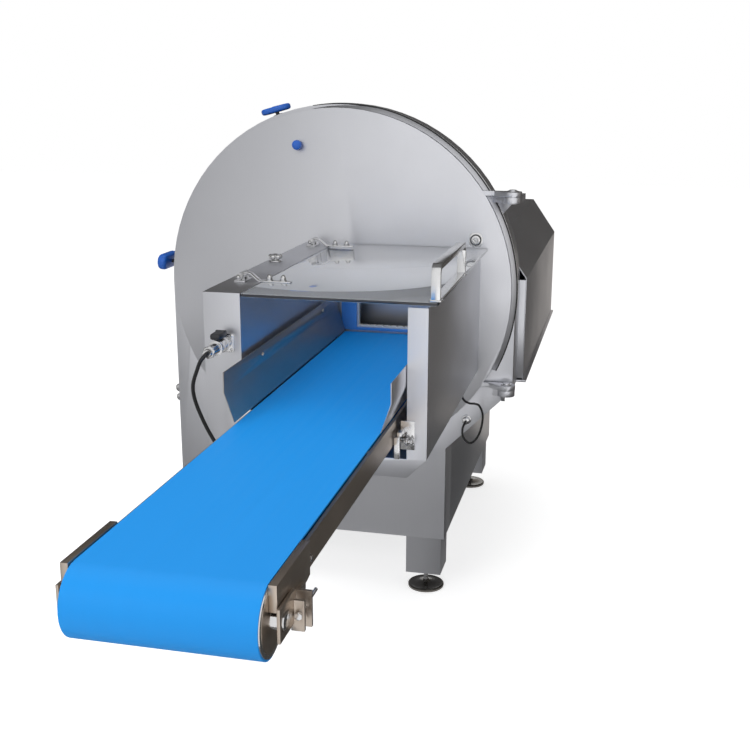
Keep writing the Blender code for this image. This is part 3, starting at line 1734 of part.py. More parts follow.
def lid_hinge(name, middle):
    """Base with two cheeks and a pin on the guard, and the cranked strap on the lid."""
    half_length = BLOCK_LENGTH / 2
    half_strap = STRAP_WIDTH / 2
    base = GUARD_TOP + FIT
    body = block(
        (LID_PIVOT_X - BLOCK_WIDTH / 2, LID_PIVOT_X + BLOCK_WIDTH / 2),
        (middle - half_length, middle + half_length),
        (base, base + BLOCK_BASE),
    )
    for side in (-1, 1):
        near = middle + side * (half_strap + RUN)
        far = near + side * BLOCK_CHEEK
        join(
            body,
            across(LID_PIVOT_X, tuple(sorted((near, far))), LID_PIVOT_Z, LID_EYE_RADIUS),
            block(
                (LID_PIVOT_X - LID_EYE_RADIUS, LID_PIVOT_X + LID_EYE_RADIUS),
                tuple(sorted((near, far))),
                (base + BLOCK_BASE - WELD, LID_PIVOT_Z),
            ),
        )
    cheek_far = half_strap + RUN + BLOCK_CHEEK / 2
    join(
        body,
        across(
            LID_PIVOT_X,
            (middle - cheek_far, middle + cheek_far),
            LID_PIVOT_Z,
            LID_PIN_RADIUS,
            SIDES_SMALL,
        ),
    )
    node(body, "hinge_block_" + name, "polished_steel", "door")

    low = LID_TOP + FIT
    high = low + STRAP_THICKNESS
    crank = LID_PIVOT_X + STRAP_CRANK
    end = LID_PIVOT_X + STRAP_REACH
    flat = crank + STRAP_CRANK / 2
    top = LID_PIVOT_Z + LID_EYE_RADIUS - WELD
    outline = [
        (LID_PIVOT_X, top - STRAP_THICKNESS),
        (crank - STRAP_THICKNESS, top - STRAP_THICKNESS),
        (flat - STRAP_THICKNESS, low),
        (end, low),
        (end, high),
        (flat, high),
        (crank, top),
        (LID_PIVOT_X, top),
    ]
    strap = plate(outline, "XZ", middle - half_strap, middle + half_strap)
    limits = (middle - half_strap, middle + half_strap)
    join(strap, across(LID_PIVOT_X, limits, LID_PIVOT_Z, LID_EYE_RADIUS))
    for share in STRAP_SCREW_SHARES:
        place = between(flat, end, share)
        join(
            strap,
            rod(
                (place, middle, high - WELD),
                (place, middle, high + SCREW_HEAD_HEIGHT),
                SCREW_HEAD_RADIUS,
                SIDES_SMALL,
                end_radius=SCREW_HEAD_RADIUS * 3 / 4,
            ),
        )
    cut(
        strap,
        across(
            LID_PIVOT_X,
            (limits[0] - OVERRUN, limits[1] + OVERRUN),
            LID_PIVOT_Z,
            LID_PIN_RADIUS + FIT,
            SIDES_SMALL,
        ),
    )
    node(strap, "hinge_strap_" + name, "polished_steel", "swing_lid")


def lid_handle():
    """Flat bar bent into a D that stands on the lid's right edge."""
    x = LID_RIGHT + HANDLE_INSET - HANDLE_WIDTH
    foot = LID_TOP + FIT
    outer = [(HANDLE_FRONT, foot), (HANDLE_REAR, foot)]
    inner = [
        (HANDLE_FRONT + HANDLE_BAR, foot + HANDLE_BAR / 2),
        (HANDLE_REAR - HANDLE_BAR, foot + HANDLE_BAR / 2),
    ]
    quarter = math.pi / 2
    for outline, bar in ((outer, 0), (inner, HANDLE_BAR)):
        radius = HANDLE_CORNER - bar
        high = HANDLE_TOP - HANDLE_CORNER
        outline += arc((HANDLE_REAR - HANDLE_CORNER, high), radius, 0, quarter, 6)
        outline += arc((HANDLE_FRONT + HANDLE_CORNER, high), radius, quarter, 2 * quarter, 6)
    body = plate(outer, "YZ", x, x + HANDLE_WIDTH, [inner])
    node(body, "lid_handle", "white_plastic", "swing_lid")


def lid_group():
    group("swing_lid", (LID_PIVOT_X, LID_HINGE_FRONT_Y, LID_PIVOT_Z), "door")
    body = block(
        (LID_LEFT, LID_RIGHT), (-GUARD_DEPTH, -LID_REAR_GAP), (LID_UNDER, LID_TOP), edge=RUN
    )
    node(body, "lid", "smoked_sheet", "swing_lid")
    lid_handle()
    lid_hinge("front", LID_HINGE_FRONT_Y)
    lid_hinge("rear", LID_HINGE_REAR_Y)


def strip_knob():
    """Lobed knob on the guard's left strip."""
    low = GUARD_TOP + FIT
    top = low + KNOB_BASE_HEIGHT + KNOB_HEIGHT
    carrier = group("turn_strip_knob", (KNOB_X, KNOB_Y, low), "door").name
    body = rod(
        (KNOB_X, KNOB_Y, low), (KNOB_X, KNOB_Y, low + KNOB_BASE_HEIGHT), KNOB_BASE_RADIUS
    )
    join(body, rod((KNOB_X, KNOB_Y, low + WELD), (KNOB_X, KNOB_Y, top), KNOB_LOBE_ORBIT))
    for index in range(KNOB_LOBES):
        angle = math.tau * index / KNOB_LOBES
        x = KNOB_X + KNOB_LOBE_ORBIT * math.cos(angle)
        y = KNOB_Y + KNOB_LOBE_ORBIT * math.sin(angle)
        join(
            body,
            rod(
                (x, y, low + KNOB_BASE_HEIGHT + RUN),
                (x, y, top - RUN),
                KNOB_LOBE_RADIUS,
                SIDES_SMALL,
            ),
        )
    node(body, "strip_knob", "polished_steel", carrier)


def belt():
    """The belt's closed loop over the drum and the tail roller and above the snub roller."""
    inner = [
        ((DRUM_Y, DRUM_Z), BELT_INNER),
        ((SNUB_Y, SNUB_Z), -SNUB_RADIUS - FIT - BELT_THICKNESS),
        ((TAIL_Y, TAIL_Z), TAIL_RADIUS + FIT),
    ]
    outer = [(centre, radius + BELT_THICKNESS) for centre, radius in inner]
    body = plate(
        loop_round(outer, SIDES_ROUND), "YZ", BELT_LEFT, BELT_RIGHT,
        [loop_round(inner, SIDES_ROUND)],
    )
    node(body, "belt", "belt_blue", "door")


def front_roller():
    carrier = group("spin_front_roller", (BELT_MIDDLE, DRUM_Y, DRUM_Z), "door").name
    half = BELT_WIDTH / 2 + DRUM_OVERHANG
    bore = DRUM_SHAFT_RADIUS + RUN
    profile = [
        (DRUM_RADIUS, half),
        (DRUM_RADIUS, -half),
        (bore, -half),
        (bore, -half + DRUM_WALL),
        (DRUM_RADIUS - DRUM_WALL, -half + DRUM_WALL),
        (DRUM_RADIUS - DRUM_WALL, half - DRUM_WALL),
        (bore, half - DRUM_WALL),
        (bore, half),
    ]
    body = turned(profile, (BELT_MIDDLE, DRUM_Y, DRUM_Z), X_AXIS, SIDES_ROUND * 2, ring=True)
    node(body, "front_roller", "polished_steel", carrier)


def stub_end(sheet_before):
    """Half length of a roller whose stubs run in a side plate set out by this much."""
    return RAIL_INNER + sheet_before + STUB_GRIP


def stub_roller(name, y, z, radius, sheet_before=0):
    """Roller with stub ends that run in the rails."""
    carrier = group("spin_" + name, (BELT_MIDDLE, y, z), "door").name
    half = BELT_WIDTH / 2
    end = stub_end(sheet_before)
    profile = [
        (0, end),
        (STUB_RADIUS, end),
        (STUB_RADIUS, half),
        (radius, half),
        (radius, -half),
        (STUB_RADIUS, -half),
        (STUB_RADIUS, -end),
        (0, -end),
    ]
    node(
        turned(profile, (BELT_MIDDLE, y, z), X_AXIS), name, "polished_steel", carrier
    )


def takeup_x():
    """Inner place of a take-up plate, on the right side."""
    return BELT_MIDDLE + RAIL_INNER + NOSE_THICKNESS + TAKEUP_GAP


def front_shaft():
    """Fixed shaft of the front drum, with flats where the take-up plates hold it."""
    end = takeup_x() - BELT_MIDDLE + TAKEUP_THICKNESS + DRUM_OVERHANG
    x = (BELT_MIDDLE - end, BELT_MIDDLE + end)
    body = across(x, DRUM_Y, DRUM_Z, DRUM_SHAFT_RADIUS)
    drum_end = BELT_WIDTH / 2 + DRUM_OVERHANG + RUN
    for side in (-1, 1):
        limits = sorted(
            (BELT_MIDDLE + side * drum_end, BELT_MIDDLE + side * (end + OVERRUN))
        )
        for way in (-1, 1):
            heights = sorted(
                (DRUM_Z + way * DRUM_FLAT, DRUM_Z + way * (DRUM_SHAFT_RADIUS + OVERRUN))
            )
            cut(
                body,
                block(
                    limits,
                    (DRUM_Y - DRUM_SHAFT_RADIUS - OVERRUN, DRUM_Y + DRUM_SHAFT_RADIUS + OVERRUN),
                    heights,
                ),
            )
    node(body, "front_shaft", "polished_steel", "door")


def tension_screw_place():
    return (
        takeup_x() + TAKEUP_THICKNESS + TAB_REACH / 2,
        (TAKEUP_TOP + TAKEUP_BOTTOM) / 2 - TAB_THICKNESS * 2,
    )


def takeup(side):
    """Plate that holds one end of the drum's shaft, with a tab for its tension screw."""
    near = takeup_x()
    far = near + TAKEUP_THICKNESS
    x = sorted((sided(side, near), sided(side, far)))
    body = block(x, (TAKEUP_FRONT, TAKEUP_REAR), (TAKEUP_BOTTOM, TAKEUP_TOP))
    tab_x = sorted((sided(side, near), sided(side, far + TAB_REACH)))
    join(
        body,
        block(
            tab_x,
            (TAKEUP_REAR - TAB_THICKNESS, TAKEUP_REAR),
            (TAKEUP_BOTTOM - TAB_THICKNESS * 2, TAKEUP_TOP - TAB_REACH),
        ),
    )
    screw_x, screw_z = tension_screw_place()
    margin = DRUM_SHAFT_RADIUS + FIT
    cut(
        body,
        block(
            (x[0] - OVERRUN, x[1] + OVERRUN),
            (DRUM_Y - margin, DRUM_Y + margin),
            (DRUM_Z - DRUM_FLAT - FIT, DRUM_Z + DRUM_FLAT + FIT),
        ),
        across(
            sided(side, screw_x),
            (TAKEUP_REAR - TAB_THICKNESS - OVERRUN, TAKEUP_REAR + OVERRUN),
            screw_z,
            TENSION_SCREW_RADIUS + FIT,
            SIDES_SMALL,
        ),
    )
    node(body, "takeup_" + side, "polished_steel", "door")


def tension_screw(side):
    """Screw that draws a take-up plate along, through the angle on the rail."""
    screw_x, screw_z = tension_screw_place()
    x = sided(side, screw_x)
    front = TAKEUP_REAR - TAB_THICKNESS
    name = "tension_screw_" + side
    carrier = group("turn_" + name, (x, TAKEUP_REAR, screw_z), "door").name
    angle_rear = ANGLE_FRONT + ANGLE_THICKNESS
    body = across(
        x, (front - TENSION_NUT_HEIGHT, TENSION_SCREW_REAR), screw_z, TENSION_SCREW_RADIUS,
        SIDES_SMALL,
    )
    washer_rear = angle_rear + FIT + TENSION_WASHER_HEIGHT
    join(
        body,
        across(
            x, (front - FIT - TENSION_NUT_HEIGHT, front - FIT), screw_z, TENSION_NUT_RADIUS,
            sides=6,
        ),
        across(x, (angle_rear + FIT, washer_rear), screw_z, TENSION_WASHER_RADIUS),
        across(
            x,
            (washer_rear - FIT, washer_rear + TENSION_NUT_HEIGHT),
            screw_z,
            TENSION_NUT_RADIUS,
            sides=6,
        ),
    )
    node(body, name, "polished_steel", carrier)


def nose_outline():
    """Side view of the thick plate at the front end of a rail."""
    return [
        (NOSE_FRONT, NOSE_TOP),
        (NOSE_FRONT, NOSE_FRONT_BOTTOM),
        (NOSE_BULGE_FRONT, NOSE_BULGE_BOTTOM),
        (NOSE_BULGE_REAR, NOSE_BULGE_BOTTOM),
        (NOSE_REAR, RAIL_BOTTOM + FIT),
        (NOSE_REAR, NOSE_TOP),
    ]


def conveyor_frame():
    """Two rails with thick nose plates and angles, cross bars, and the bed under the belt."""
    x = (BELT_MIDDLE - RAIL_INNER, BELT_MIDDLE + RAIL_INNER)
    bar_top = BELT_TOP - BELT_THICKNESS - BED_GAP - BED_SHEET / 2
    bed = (BELT_LEFT + BED_SHEET * 2, BELT_RIGHT - BED_SHEET * 2)
    body = block(
        bed,
        (BED_FRONT, BED_REAR),
        (bar_top - BED_SHEET / 2, bar_top + BED_SHEET / 2),
    )
    for share in CROSS_BAR_SHARES:
        middle = between(BED_FRONT, BED_REAR, share)
        join(
            body,
            block(
                (x[0] - SHEET / 2, x[1] + SHEET / 2),
                (middle - CROSS_BAR_SIZE / 2, middle + CROSS_BAR_SIZE / 2),
                (bar_top - CROSS_BAR_SIZE, bar_top),
            ),
        )
    screw_x, screw_z = tension_screw_place()
    for side in ("left", "right"):
        rail = sorted(
            (sided(side, BELT_MIDDLE + RAIL_INNER), sided(side, BELT_MIDDLE + RAIL_OUTER))
        )
        nose = sorted(
            (
                sided(side, BELT_MIDDLE + RAIL_INNER + NOSE_SET),
                sided(side, BELT_MIDDLE + RAIL_INNER + NOSE_THICKNESS),
            )
        )
        nose_plate = plate(nose_outline(), "YZ", *nose)
        nose_outer = BELT_MIDDLE + RAIL_INNER + NOSE_THICKNESS
        angle_x = sorted(
            (sided(side, nose_outer - WELD), sided(side, screw_x + TAB_REACH / 2 + SHEET))
        )
        join(
            body,
            block(rail, (NOSE_REAR - OVERRUN, RAIL_REAR), (RAIL_BOTTOM, RAIL_TOP)),
            nose_plate,
            block(
                angle_x,
                (ANGLE_FRONT, ANGLE_FRONT + ANGLE_THICKNESS),
                (ANGLE_BOTTOM, ANGLE_TOP),
            ),
            block(
                sorted(
                    (
                        sided(side, nose_outer - WELD * 2),
                        sided(side, nose_outer + ANGLE_THICKNESS),
                    )
                ),
                (ANGLE_FRONT + ANGLE_THICKNESS / 2, ANGLE_FRONT + ANGLE_REACH),
                (NOSE_BULGE_BOTTOM + WELD, ANGLE_TOP - WELD),
            ),
        )
        cut(
            body,
            across(
                sided(side, screw_x),
                (ANGLE_FRONT - OVERRUN, ANGLE_FRONT + ANGLE_THICKNESS + OVERRUN),
                screw_z,
                TENSION_SCREW_RADIUS + FIT,
                SIDES_SMALL,
            ),
        )
    for y, z, sheet_before in ((TAIL_Y, TAIL_Z, 0), (SNUB_Y, SNUB_Z, NOSE_SET)):
        end = stub_end(sheet_before)
        cut(
            body,
            across(
                (BELT_MIDDLE - end - FIT, BELT_MIDDLE + end + FIT),
                y,
                z,
                STUB_RADIUS + FIT,
                SIDES_SMALL,
            ),
        )
    node(body, "conveyor_frame", "dark_side_steel", "door")


def clamp(side):
    """Block and leg on the guard's face that hold one rail of the conveyor."""
    near = BELT_MIDDLE + RAIL_OUTER + FIT
    rear = -GUARD_DEPTH - FIT
    y = (rear - CLAMP_LENGTH, rear)
    leg_x = sorted((sided(side, near), sided(side, near + CLAMP_LEG_THICKNESS)))
    body = block(
        sorted((sided(side, near), sided(side, near + CLAMP_REACH))),
        y,
        (CLAMP_BOTTOM, CLAMP_TOP),
        edge=RUN,
    )
    pin_z = CLAMP_BOTTOM - CLAMP_PIN_DROP
    middle = sum(y) / 2
    bolt_end = near + CLAMP_REACH - CLAMP_NUT_HEIGHT
    join(
        body,
        block(
            leg_x,
            (y[0], y[0] + CLAMP_LENGTH / 2),
            (CLAMP_LEG_BOTTOM, CLAMP_BOTTOM + WELD),
        ),
        across(
            tuple(
                sorted((sided(side, near - CLAMP_PIN_REACH), sided(side, near + FIT * 4)))
            ),
            middle - CLAMP_LENGTH / 4,
            pin_z,
            CLAMP_PIN_RADIUS,
            SIDES_SMALL,
        ),
        across(
            tuple(sorted((sided(side, near + FIT * 4), sided(side, bolt_end)))),
            middle - CLAMP_LENGTH / 4,
            pin_z,
            CLAMP_BOLT_RADIUS,
            SIDES_SMALL,
        ),
        across(
            tuple(
                sorted(
                    (
                        sided(side, near + CLAMP_LEG_THICKNESS + RUN),
                        sided(side, near + CLAMP_LEG_THICKNESS + RUN + CLAMP_NUT_HEIGHT),
                    )
                )
            ),
            middle - CLAMP_LENGTH / 4,
            pin_z,
            CLAMP_NUT_RADIUS,
            sides=6,
        ),
    )
    node(body, "clamp_" + side, "polished_steel", "door")


def smooth(route, steps):
    """Points of a smooth line through the points of a route."""
    points = [Vector(point) for point in route]
    ends = [2 * points[0] - points[1]] + points + [2 * points[-1] - points[-2]]
    found = []
    for index in range(len(points) - 1):
        before, first, second, after = ends[index : index + 4]
        for step in range(steps):
            t = step / steps
            found.append(
                (
                    2 * first
                    + (second - before) * t
                    + (2 * before - 5 * first + 4 * second - after) * t**2
                    + (3 * first - before - 3 * second + after) * t**3
                )
                / 2
            )
    return found + [points[-1]]


def cable_left():
    """From the plug's neck down past the post and under the conveyor to the guard's face."""
    start = plug_end() - CABLE_GAP
    end = -GUARD_DEPTH - GUARD_GLAND_LENGTH - CABLE_GAP
    route = [
        (SOCKET_X, start, SOCKET_Z),
        (SOCKET_X, start - 0.0060, SOCKET_Z),
        (SOCKET_X, start - 0.0120, SOCKET_Z),
        (-0.0510, -0.9060, 0.0020),
        (-0.0664, -0.8900, -0.0225),
        (-0.0855, -0.8700, -0.0623),
        (-0.0887, -0.8550, -0.1005),
        (-0.0782, -0.8400, -0.1499),
        (-0.0647, -0.8250, -0.1930),
        (-0.0450, -0.8180, -0.2280),
        (-0.0120, -0.8220, -0.2500),
        (0.0250, -0.8320, -0.2580),
        (0.0500, -0.8330, -0.2530),
        (GUARD_GLAND_X, end - 0.0160, GUARD_GLAND_Z),
        (GUARD_GLAND_X, end - 0.0080, GUARD_GLAND_Z),
        (GUARD_GLAND_X, end, GUARD_GLAND_Z),
    ]
    node(
        tube(smooth(route, CABLE_STEPS), CABLE_LEFT_RADIUS), "cable_left", "black_rubber", "door"
    )


def cable_right():
    """From under the guard's right side down in a loop and up to the gland on the housing."""
    start = GUARD_SIDE_BOTTOM - CABLE_GAP
    end = HOUSING_FRONT - FIT - GLAND_LENGTH - CABLE_GAP
    route = [
        (0.4045, -0.2310, start),
        (0.4045, -0.2310, start - 0.0050),
        (0.4045, -0.2310, start - 0.0100),
        (0.4090, -0.2080, -0.2540),
        (0.4150, -0.1550, -0.2750),
        (0.4200, -0.0950, -0.2930),
        (0.4270, -0.0520, -0.3120),
        (0.4345, -0.0330, -0.3450),
        (0.4290, -0.0310, -0.3900),
        (0.4130, -0.0320, -0.4220),
        (0.3960, -0.0330, -0.4290),
        (0.3800, -0.0330, -0.4130),
        (0.3765, -0.0270, -0.3910),
        (GLAND_X, end - 0.0120, GLAND_Z),
        (GLAND_X, end - 0.0060, GLAND_Z),
        (GLAND_X, end, GLAND_Z),
    ]
    node(
        tube(smooth(route, CABLE_STEPS), CABLE_RIGHT_RADIUS),
        "cable_right",
        "black_rubber",
        "door",
    )


def main():
    group("machine", (-ORIGIN_X, -ORIGIN_Y, AXIS_HEIGHT))
    feet = blade_housing()
    back_plate()
    feet.update(cabinet_shell())
    rear_panel()
    for name, middle in feet.items():
        foot(name, middle)
    hinge_bracket_upper()
    hinge_bracket_lower()
    cable_gland()
    bearing_housing()
    blade_motor()
    drive_belt()
    blade_group()
    motor_pulley()
    infeed_trough()
    guide_rods()
    feed_motor()
    lead_screw()
    pusher()
    infeed_hood()
    latch("latch_top", LATCH_TOP_ANGLE, lengthwise=False)
    latch("latch_left", LATCH_LEFT_ANGLE, lengthwise=True)

    group("door", (HINGE_X, HINGE_Y, HINGE_ARM_UPPER), "machine")
    door_panel()
    door_seal()
    window_frame()
    blue_strip()
    lid_stop()
    guard_frame()
    lock_sensor()
    socket()
    plug()
    plug_lever()
    lid_group()
    strip_knob()
    belt()
    front_roller()
    front_shaft()
    stub_roller("snub_roller", SNUB_Y, SNUB_Z, SNUB_RADIUS, NOSE_SET)
    stub_roller("rear_roller", TAIL_Y, TAIL_Z, TAIL_RADIUS)
    conveyor_frame()
    for side in ("left", "right"):
        guide(side)
        clamp(side)
        takeup(side)
        tension_screw(side)
    cable_left()
    cable_right()


main()
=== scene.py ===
"""Finishes and fine pieces of a floor-standing meat slicer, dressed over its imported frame.

Metres. Places on the machine are given from the blade's axis at the door's front face: x to the
right, y to the back and z up. Outlines of small pieces are in millimetres.
"""

import json
import math

import bmesh
import bpy
from bpy.props import FloatProperty, FloatVectorProperty, PointerProperty
from bpy.types import Operator, Panel, PropertyGroup
from mathutils import Matrix, Vector


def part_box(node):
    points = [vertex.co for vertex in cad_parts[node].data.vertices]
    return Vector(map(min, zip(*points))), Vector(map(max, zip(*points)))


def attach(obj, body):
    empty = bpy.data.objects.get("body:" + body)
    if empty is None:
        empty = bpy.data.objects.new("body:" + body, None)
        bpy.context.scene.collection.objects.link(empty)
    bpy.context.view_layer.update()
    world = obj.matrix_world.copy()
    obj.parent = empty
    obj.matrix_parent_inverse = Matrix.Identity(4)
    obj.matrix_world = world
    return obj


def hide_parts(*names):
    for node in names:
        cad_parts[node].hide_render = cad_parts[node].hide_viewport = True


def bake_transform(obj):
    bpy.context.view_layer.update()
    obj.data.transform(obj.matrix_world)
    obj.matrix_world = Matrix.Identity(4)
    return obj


bl_info = {
    "name": "Meat Slicer Dressing",
    "version": (1, 0, 0),
    "blender": (4, 5, 0),
    "location": "View3D > Sidebar > Meat Slicer",
    "description": "Finishes, cables and fine pieces of a floor-standing meat slicer",
    "category": "Object",
}

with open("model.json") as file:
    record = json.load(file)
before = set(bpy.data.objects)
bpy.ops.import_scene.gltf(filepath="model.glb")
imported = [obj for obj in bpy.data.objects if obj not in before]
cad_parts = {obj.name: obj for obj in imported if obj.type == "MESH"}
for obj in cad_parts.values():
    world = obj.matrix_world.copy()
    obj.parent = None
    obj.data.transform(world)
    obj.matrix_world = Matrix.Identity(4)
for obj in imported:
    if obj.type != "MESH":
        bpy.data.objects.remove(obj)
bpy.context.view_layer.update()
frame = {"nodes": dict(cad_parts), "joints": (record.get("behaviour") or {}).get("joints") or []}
JOINTS = {joint["name"]: joint for joint in frame["joints"]}
BLADE_AXIS = Vector(JOINTS["blade_spin"]["pos_m"])

MM = 0.001
SHARP_ANGLE = math.radians(32)
WELD_DISTANCE = 0.01 * MM
FINE_EDGE = 0.8 * MM
SHEET_EDGE = 0.6 * MM
ROUND_SIDES = 48
SMALL_SIDES = 24
CABLE_SIDES = 16
CABLE_STEPS = 6
RIGHT = Vector((1, 0, 0))
FRONT = Vector((0, -1, 0))
UP = Vector((0, 0, 1))


def on_machine(place):
    """A place in the frame's own coordinates, given from the blade's axis."""
    return Vector(place) - BLADE_AXIS


def middle_of(name):
    """Middle of a solid's box on the machine."""
    low, high = (on_machine(corner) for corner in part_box(name))
    return (low + high) / 2


# Places that the frame gives
DOOR_HINGE = on_machine(JOINTS["door_swing"]["pos_m"])
LID_HINGE = on_machine(JOINTS["lid_swing"]["pos_m"])
KNOB = on_machine(JOINTS["strip_knob_turn"]["pos_m"])
DRUM = on_machine(JOINTS["front_roller_spin"]["pos_m"])
LID_TOP = on_machine(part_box("lid")[1]).z
SOCKET = middle_of("socket")
BUMPER = middle_of("lid_stop")

# Latches: how the left one differs from the top one, and the stem, collar and cam of each
TOP_LATCH_TILT = math.radians(6)
LEFT_LATCH_LENGTH_SHARE = 1.3
LEFT_LATCH_THICKNESS_SHARE = 1.7
STEM_FOOT = 0.4965  # from the blade's axis
STEM_COLLAR = 0.5098
STEM_RADIUS = 5.5 * MM
COLLAR = (15 * MM, 3 * MM)  # radius and thickness, as for every washer and nut below
CAM = (34 * MM, 12 * MM)
CAM_CORNER = 5 * MM
CAM_HALF = 3 * MM
HANDLE_CORNER_SHARE = 0.46
HANDLE_EDGE_SHARE = 0.72
BUMPER_STAND = 0.5 * MM

# Levelling feet
STUD = (18 * MM, 110 * MM)  # lowest and highest point above the floor
STUD_RADIUS = 6.5 * MM
STUD_PITCH = 2 * MM

# Lid fittings
STRAP_WIDTH = 18 * MM
STRAP_THICKNESS = 3.6 * MM
STRAP_LIFT = 2.2 * MM
STRAP_KNUCKLE_TOP = 0.1462
STRAP_NUTS = (0.014, 0.047)
STRAP_WASHER_LIFT = 1.7 * MM
STRAP_WASHER_SHARE = 1.25
STRAP_WASHER_THICKNESS = 1.2 * MM
STRAP_NUT_LIFT = 2.8 * MM
PIN_NUT_REACH = 25.5 * MM
PIN_NUT = (6.5 * MM, 11 * MM)
ACORN_HEIGHT = 13 * MM
HANDLE_PAD = (27 * MM, 24 * MM)
HANDLE_PAD_CORNER = 4 * MM
HANDLE_PAD_HALF = 2 * MM
HANDLE_PAD_INSET = 10 * MM
HANDLE_PAD_LIFT = 2.6 * MM
KNOB_LOBES = 5
KNOB_LOBE_RADIUS = 11 * MM

# Door sensor and plug
SENSOR = Vector((0.3980, 0, 0.1490))
SENSOR_PLATE = (37 * MM, 40 * MM)
SENSOR_PLATE_DROP = 0.5 * MM
SENSOR_PLATE_CORNER = 13 * MM
SENSOR_PLATE_FACES = (0.5 * MM, 3.5 * MM)  # in front of the door
SENSOR_RADIUS = 15.5 * MM
SENSOR_FOOT = 3 * MM
SENSOR_HEIGHT = 9 * MM
SENSOR_LIP = 1 * MM
SENSOR_FACE_SHARE = 0.8
SOCKET_FACE = -0.7888
SOCKET_SCREW_REACH = 15.5 * MM
KNURL_FRONT = -0.8040
KNURLS = 72
KNURL_RADII = (16.9 * MM, 17.6 * MM)
KNURL_WIDTH = 9 * MM
BACK_NUT_FRONT = -0.8760
BACK_NUT = (14.5 * MM, 10 * MM)
BACK_NUT_TURN = 0.3  # radians
BACK_SLEEVE_FRONT = -0.8855

# Conveyor, measured from its middle
RAIL_FACE = 0.1619
RAIL_BOLT = (-1.455, -0.161)  # y and z
RAIL_WASHER = (7.5 * MM, 1.4 * MM)
RAIL_NUT = (5.6 * MM, 4 * MM)
DRUM_END = 0.1560
CLAMP_ROD = (-0.8000, -0.1777)  # y and z
CLAMP_ROD_ENDS = (0.1612, 0.2010)
CLAMP_ROD_RADIUS = 4 * MM
CLAMP_NUTS = (0.1830, 0.1935)
CLAMP_NUT = (8.5 * MM, 6 * MM)
CLAMP_EDGE = 1.2 * MM
CLAMP_PLATES = (
    ((0.1640, -0.8320, -0.2080), (0.1760, -0.8240, -0.1600)),
    ((0.1690, -0.8260, -0.1620), (0.1790, -0.7865, -0.1500)),
    ((0.1690, -0.7886, -0.2000), (0.2000, -0.7843, -0.1350)),
)

# Housing and hood
HINGE_NUTS = (0.2837, -0.2568)  # heights of the two washers on the hinge's pins
HINGE_WASHER = (15 * MM, 2 * MM)
PIN_END_DROP = 35 * MM
CATCH = (-0.5120, 0.040)  # x and y
CATCH_LOBES = ((-0.3430, 13 * MM), (-0.3720, 11.5 * MM))  # height and radius
RIM_START, RIM_END = math.radians(-26), math.radians(98)
RIM_STEPS = 120
RIM_TAPER_SHARE = 0.18
RIM_END_SHARE = 0.15
HOOD_LIP = (78 * MM, 2.4 * MM, 292 * MM)
HOOD_LIP_CORNER = (0.5266, 0.1372, 0.0180)  # its top right corner, halfway through the sheet

# Turned outlines, radius and height
PIN_OUTLINE = [(0, -9), (7, -9), (7.6, -8.4), (7.6, 8.4), (7, 9), (0, 9)]
KNOB_FLANGE_OUTLINE = [(0, 0), (17, 0), (17.5, 0.8), (17, 2.6), (10, 4), (8, 7), (0, 7)]
KNOB_LOBE_OUTLINE = [(0, 6), (5, 6.5), (7.4, 10), (7.6, 13), (6.6, 16), (4, 17.6), (0, 18)]
KNOB_HUB_OUTLINE = [(0, 6), (11, 7), (11, 17), (7, 19), (3, 19.5), (0, 19)]
SCREW_OUTLINE = [(0, 0), (3.2, 0), (3, 1.4), (1.8, 2.2), (0, 2.4)]
SLEEVE_OUTLINE = [(0, 0), (9.5, 0), (9, 4), (7.5, 6.5), (0, 6.5)]
PIN_END_OUTLINE = [(0, 0), (3, 0.6), (5.4, 3), (6, 6), (5.4, 9), (3, 12), (3, 20), (0, 20)]
HANDLE_BOSS_OUTLINE = [(0, -1), (10, -1), (9, 1.2), (0, 1.6)]
FOOT_RIM_STEPS = [(-1, 0), (0, 1), (0, 7.5), (-1.5, 9.5)]
DRUM_END_OUTLINE = [(0, 0), (50, 0), (50, 0.35), (24, 0.35), (22, 0.6), (0, 0.6)]

# Turned outlines as shares of a radius, with heights in millimetres
BUMPER_SHARES = [
    (0, 0), (0.6, 0), (0.6, 8), (1, 9), (1, 16), (0.93, 19), (0.75, 21), (0.4, 22), (0, 22.3)
]
FOOT_DISH_SHARES = [(0.93, 10.5), (0.86, 9.5), (0.5, 12), (0.24, 15.5), (0.17, 20), (0, 20)]
CATCH_SHARES = [(0, 0), (0.8, 0), (1, 2), (1, 9), (0.8, 11.5), (0.4, 12.5), (0, 12.8)]
SENSOR_FACE_SHARES = [
    (0, -1), (1, -1), (1, 1), (0.86, 2), (0.55, 2), (0.45, 1.2), (0.3, 1.2), (0.24, 2.2), (0, 2.4)
]

# Outlines of the rings round the housing, radius and depth, with their finish and body
RIM_RINGS = {
    "door_rim": (
        [(499.6, 11), (500.4, 10.2), (510.8, 16.5), (511.6, 17.2), (511.6, 18.5), (499.6, 18.5)],
        "ground",
        "door",
    ),
    "rim_seal": ([(509, 18.6), (515, 18.6), (515, 20.2), (509.6, 20.2)], "rubber", "door"),
    "rim_bead": (
        [(509.2, 21.2), (514.6, 21.2), (516, 22.2), (516, 25), (509.2, 26.2)],
        "polished",
        "base",
    ),
}

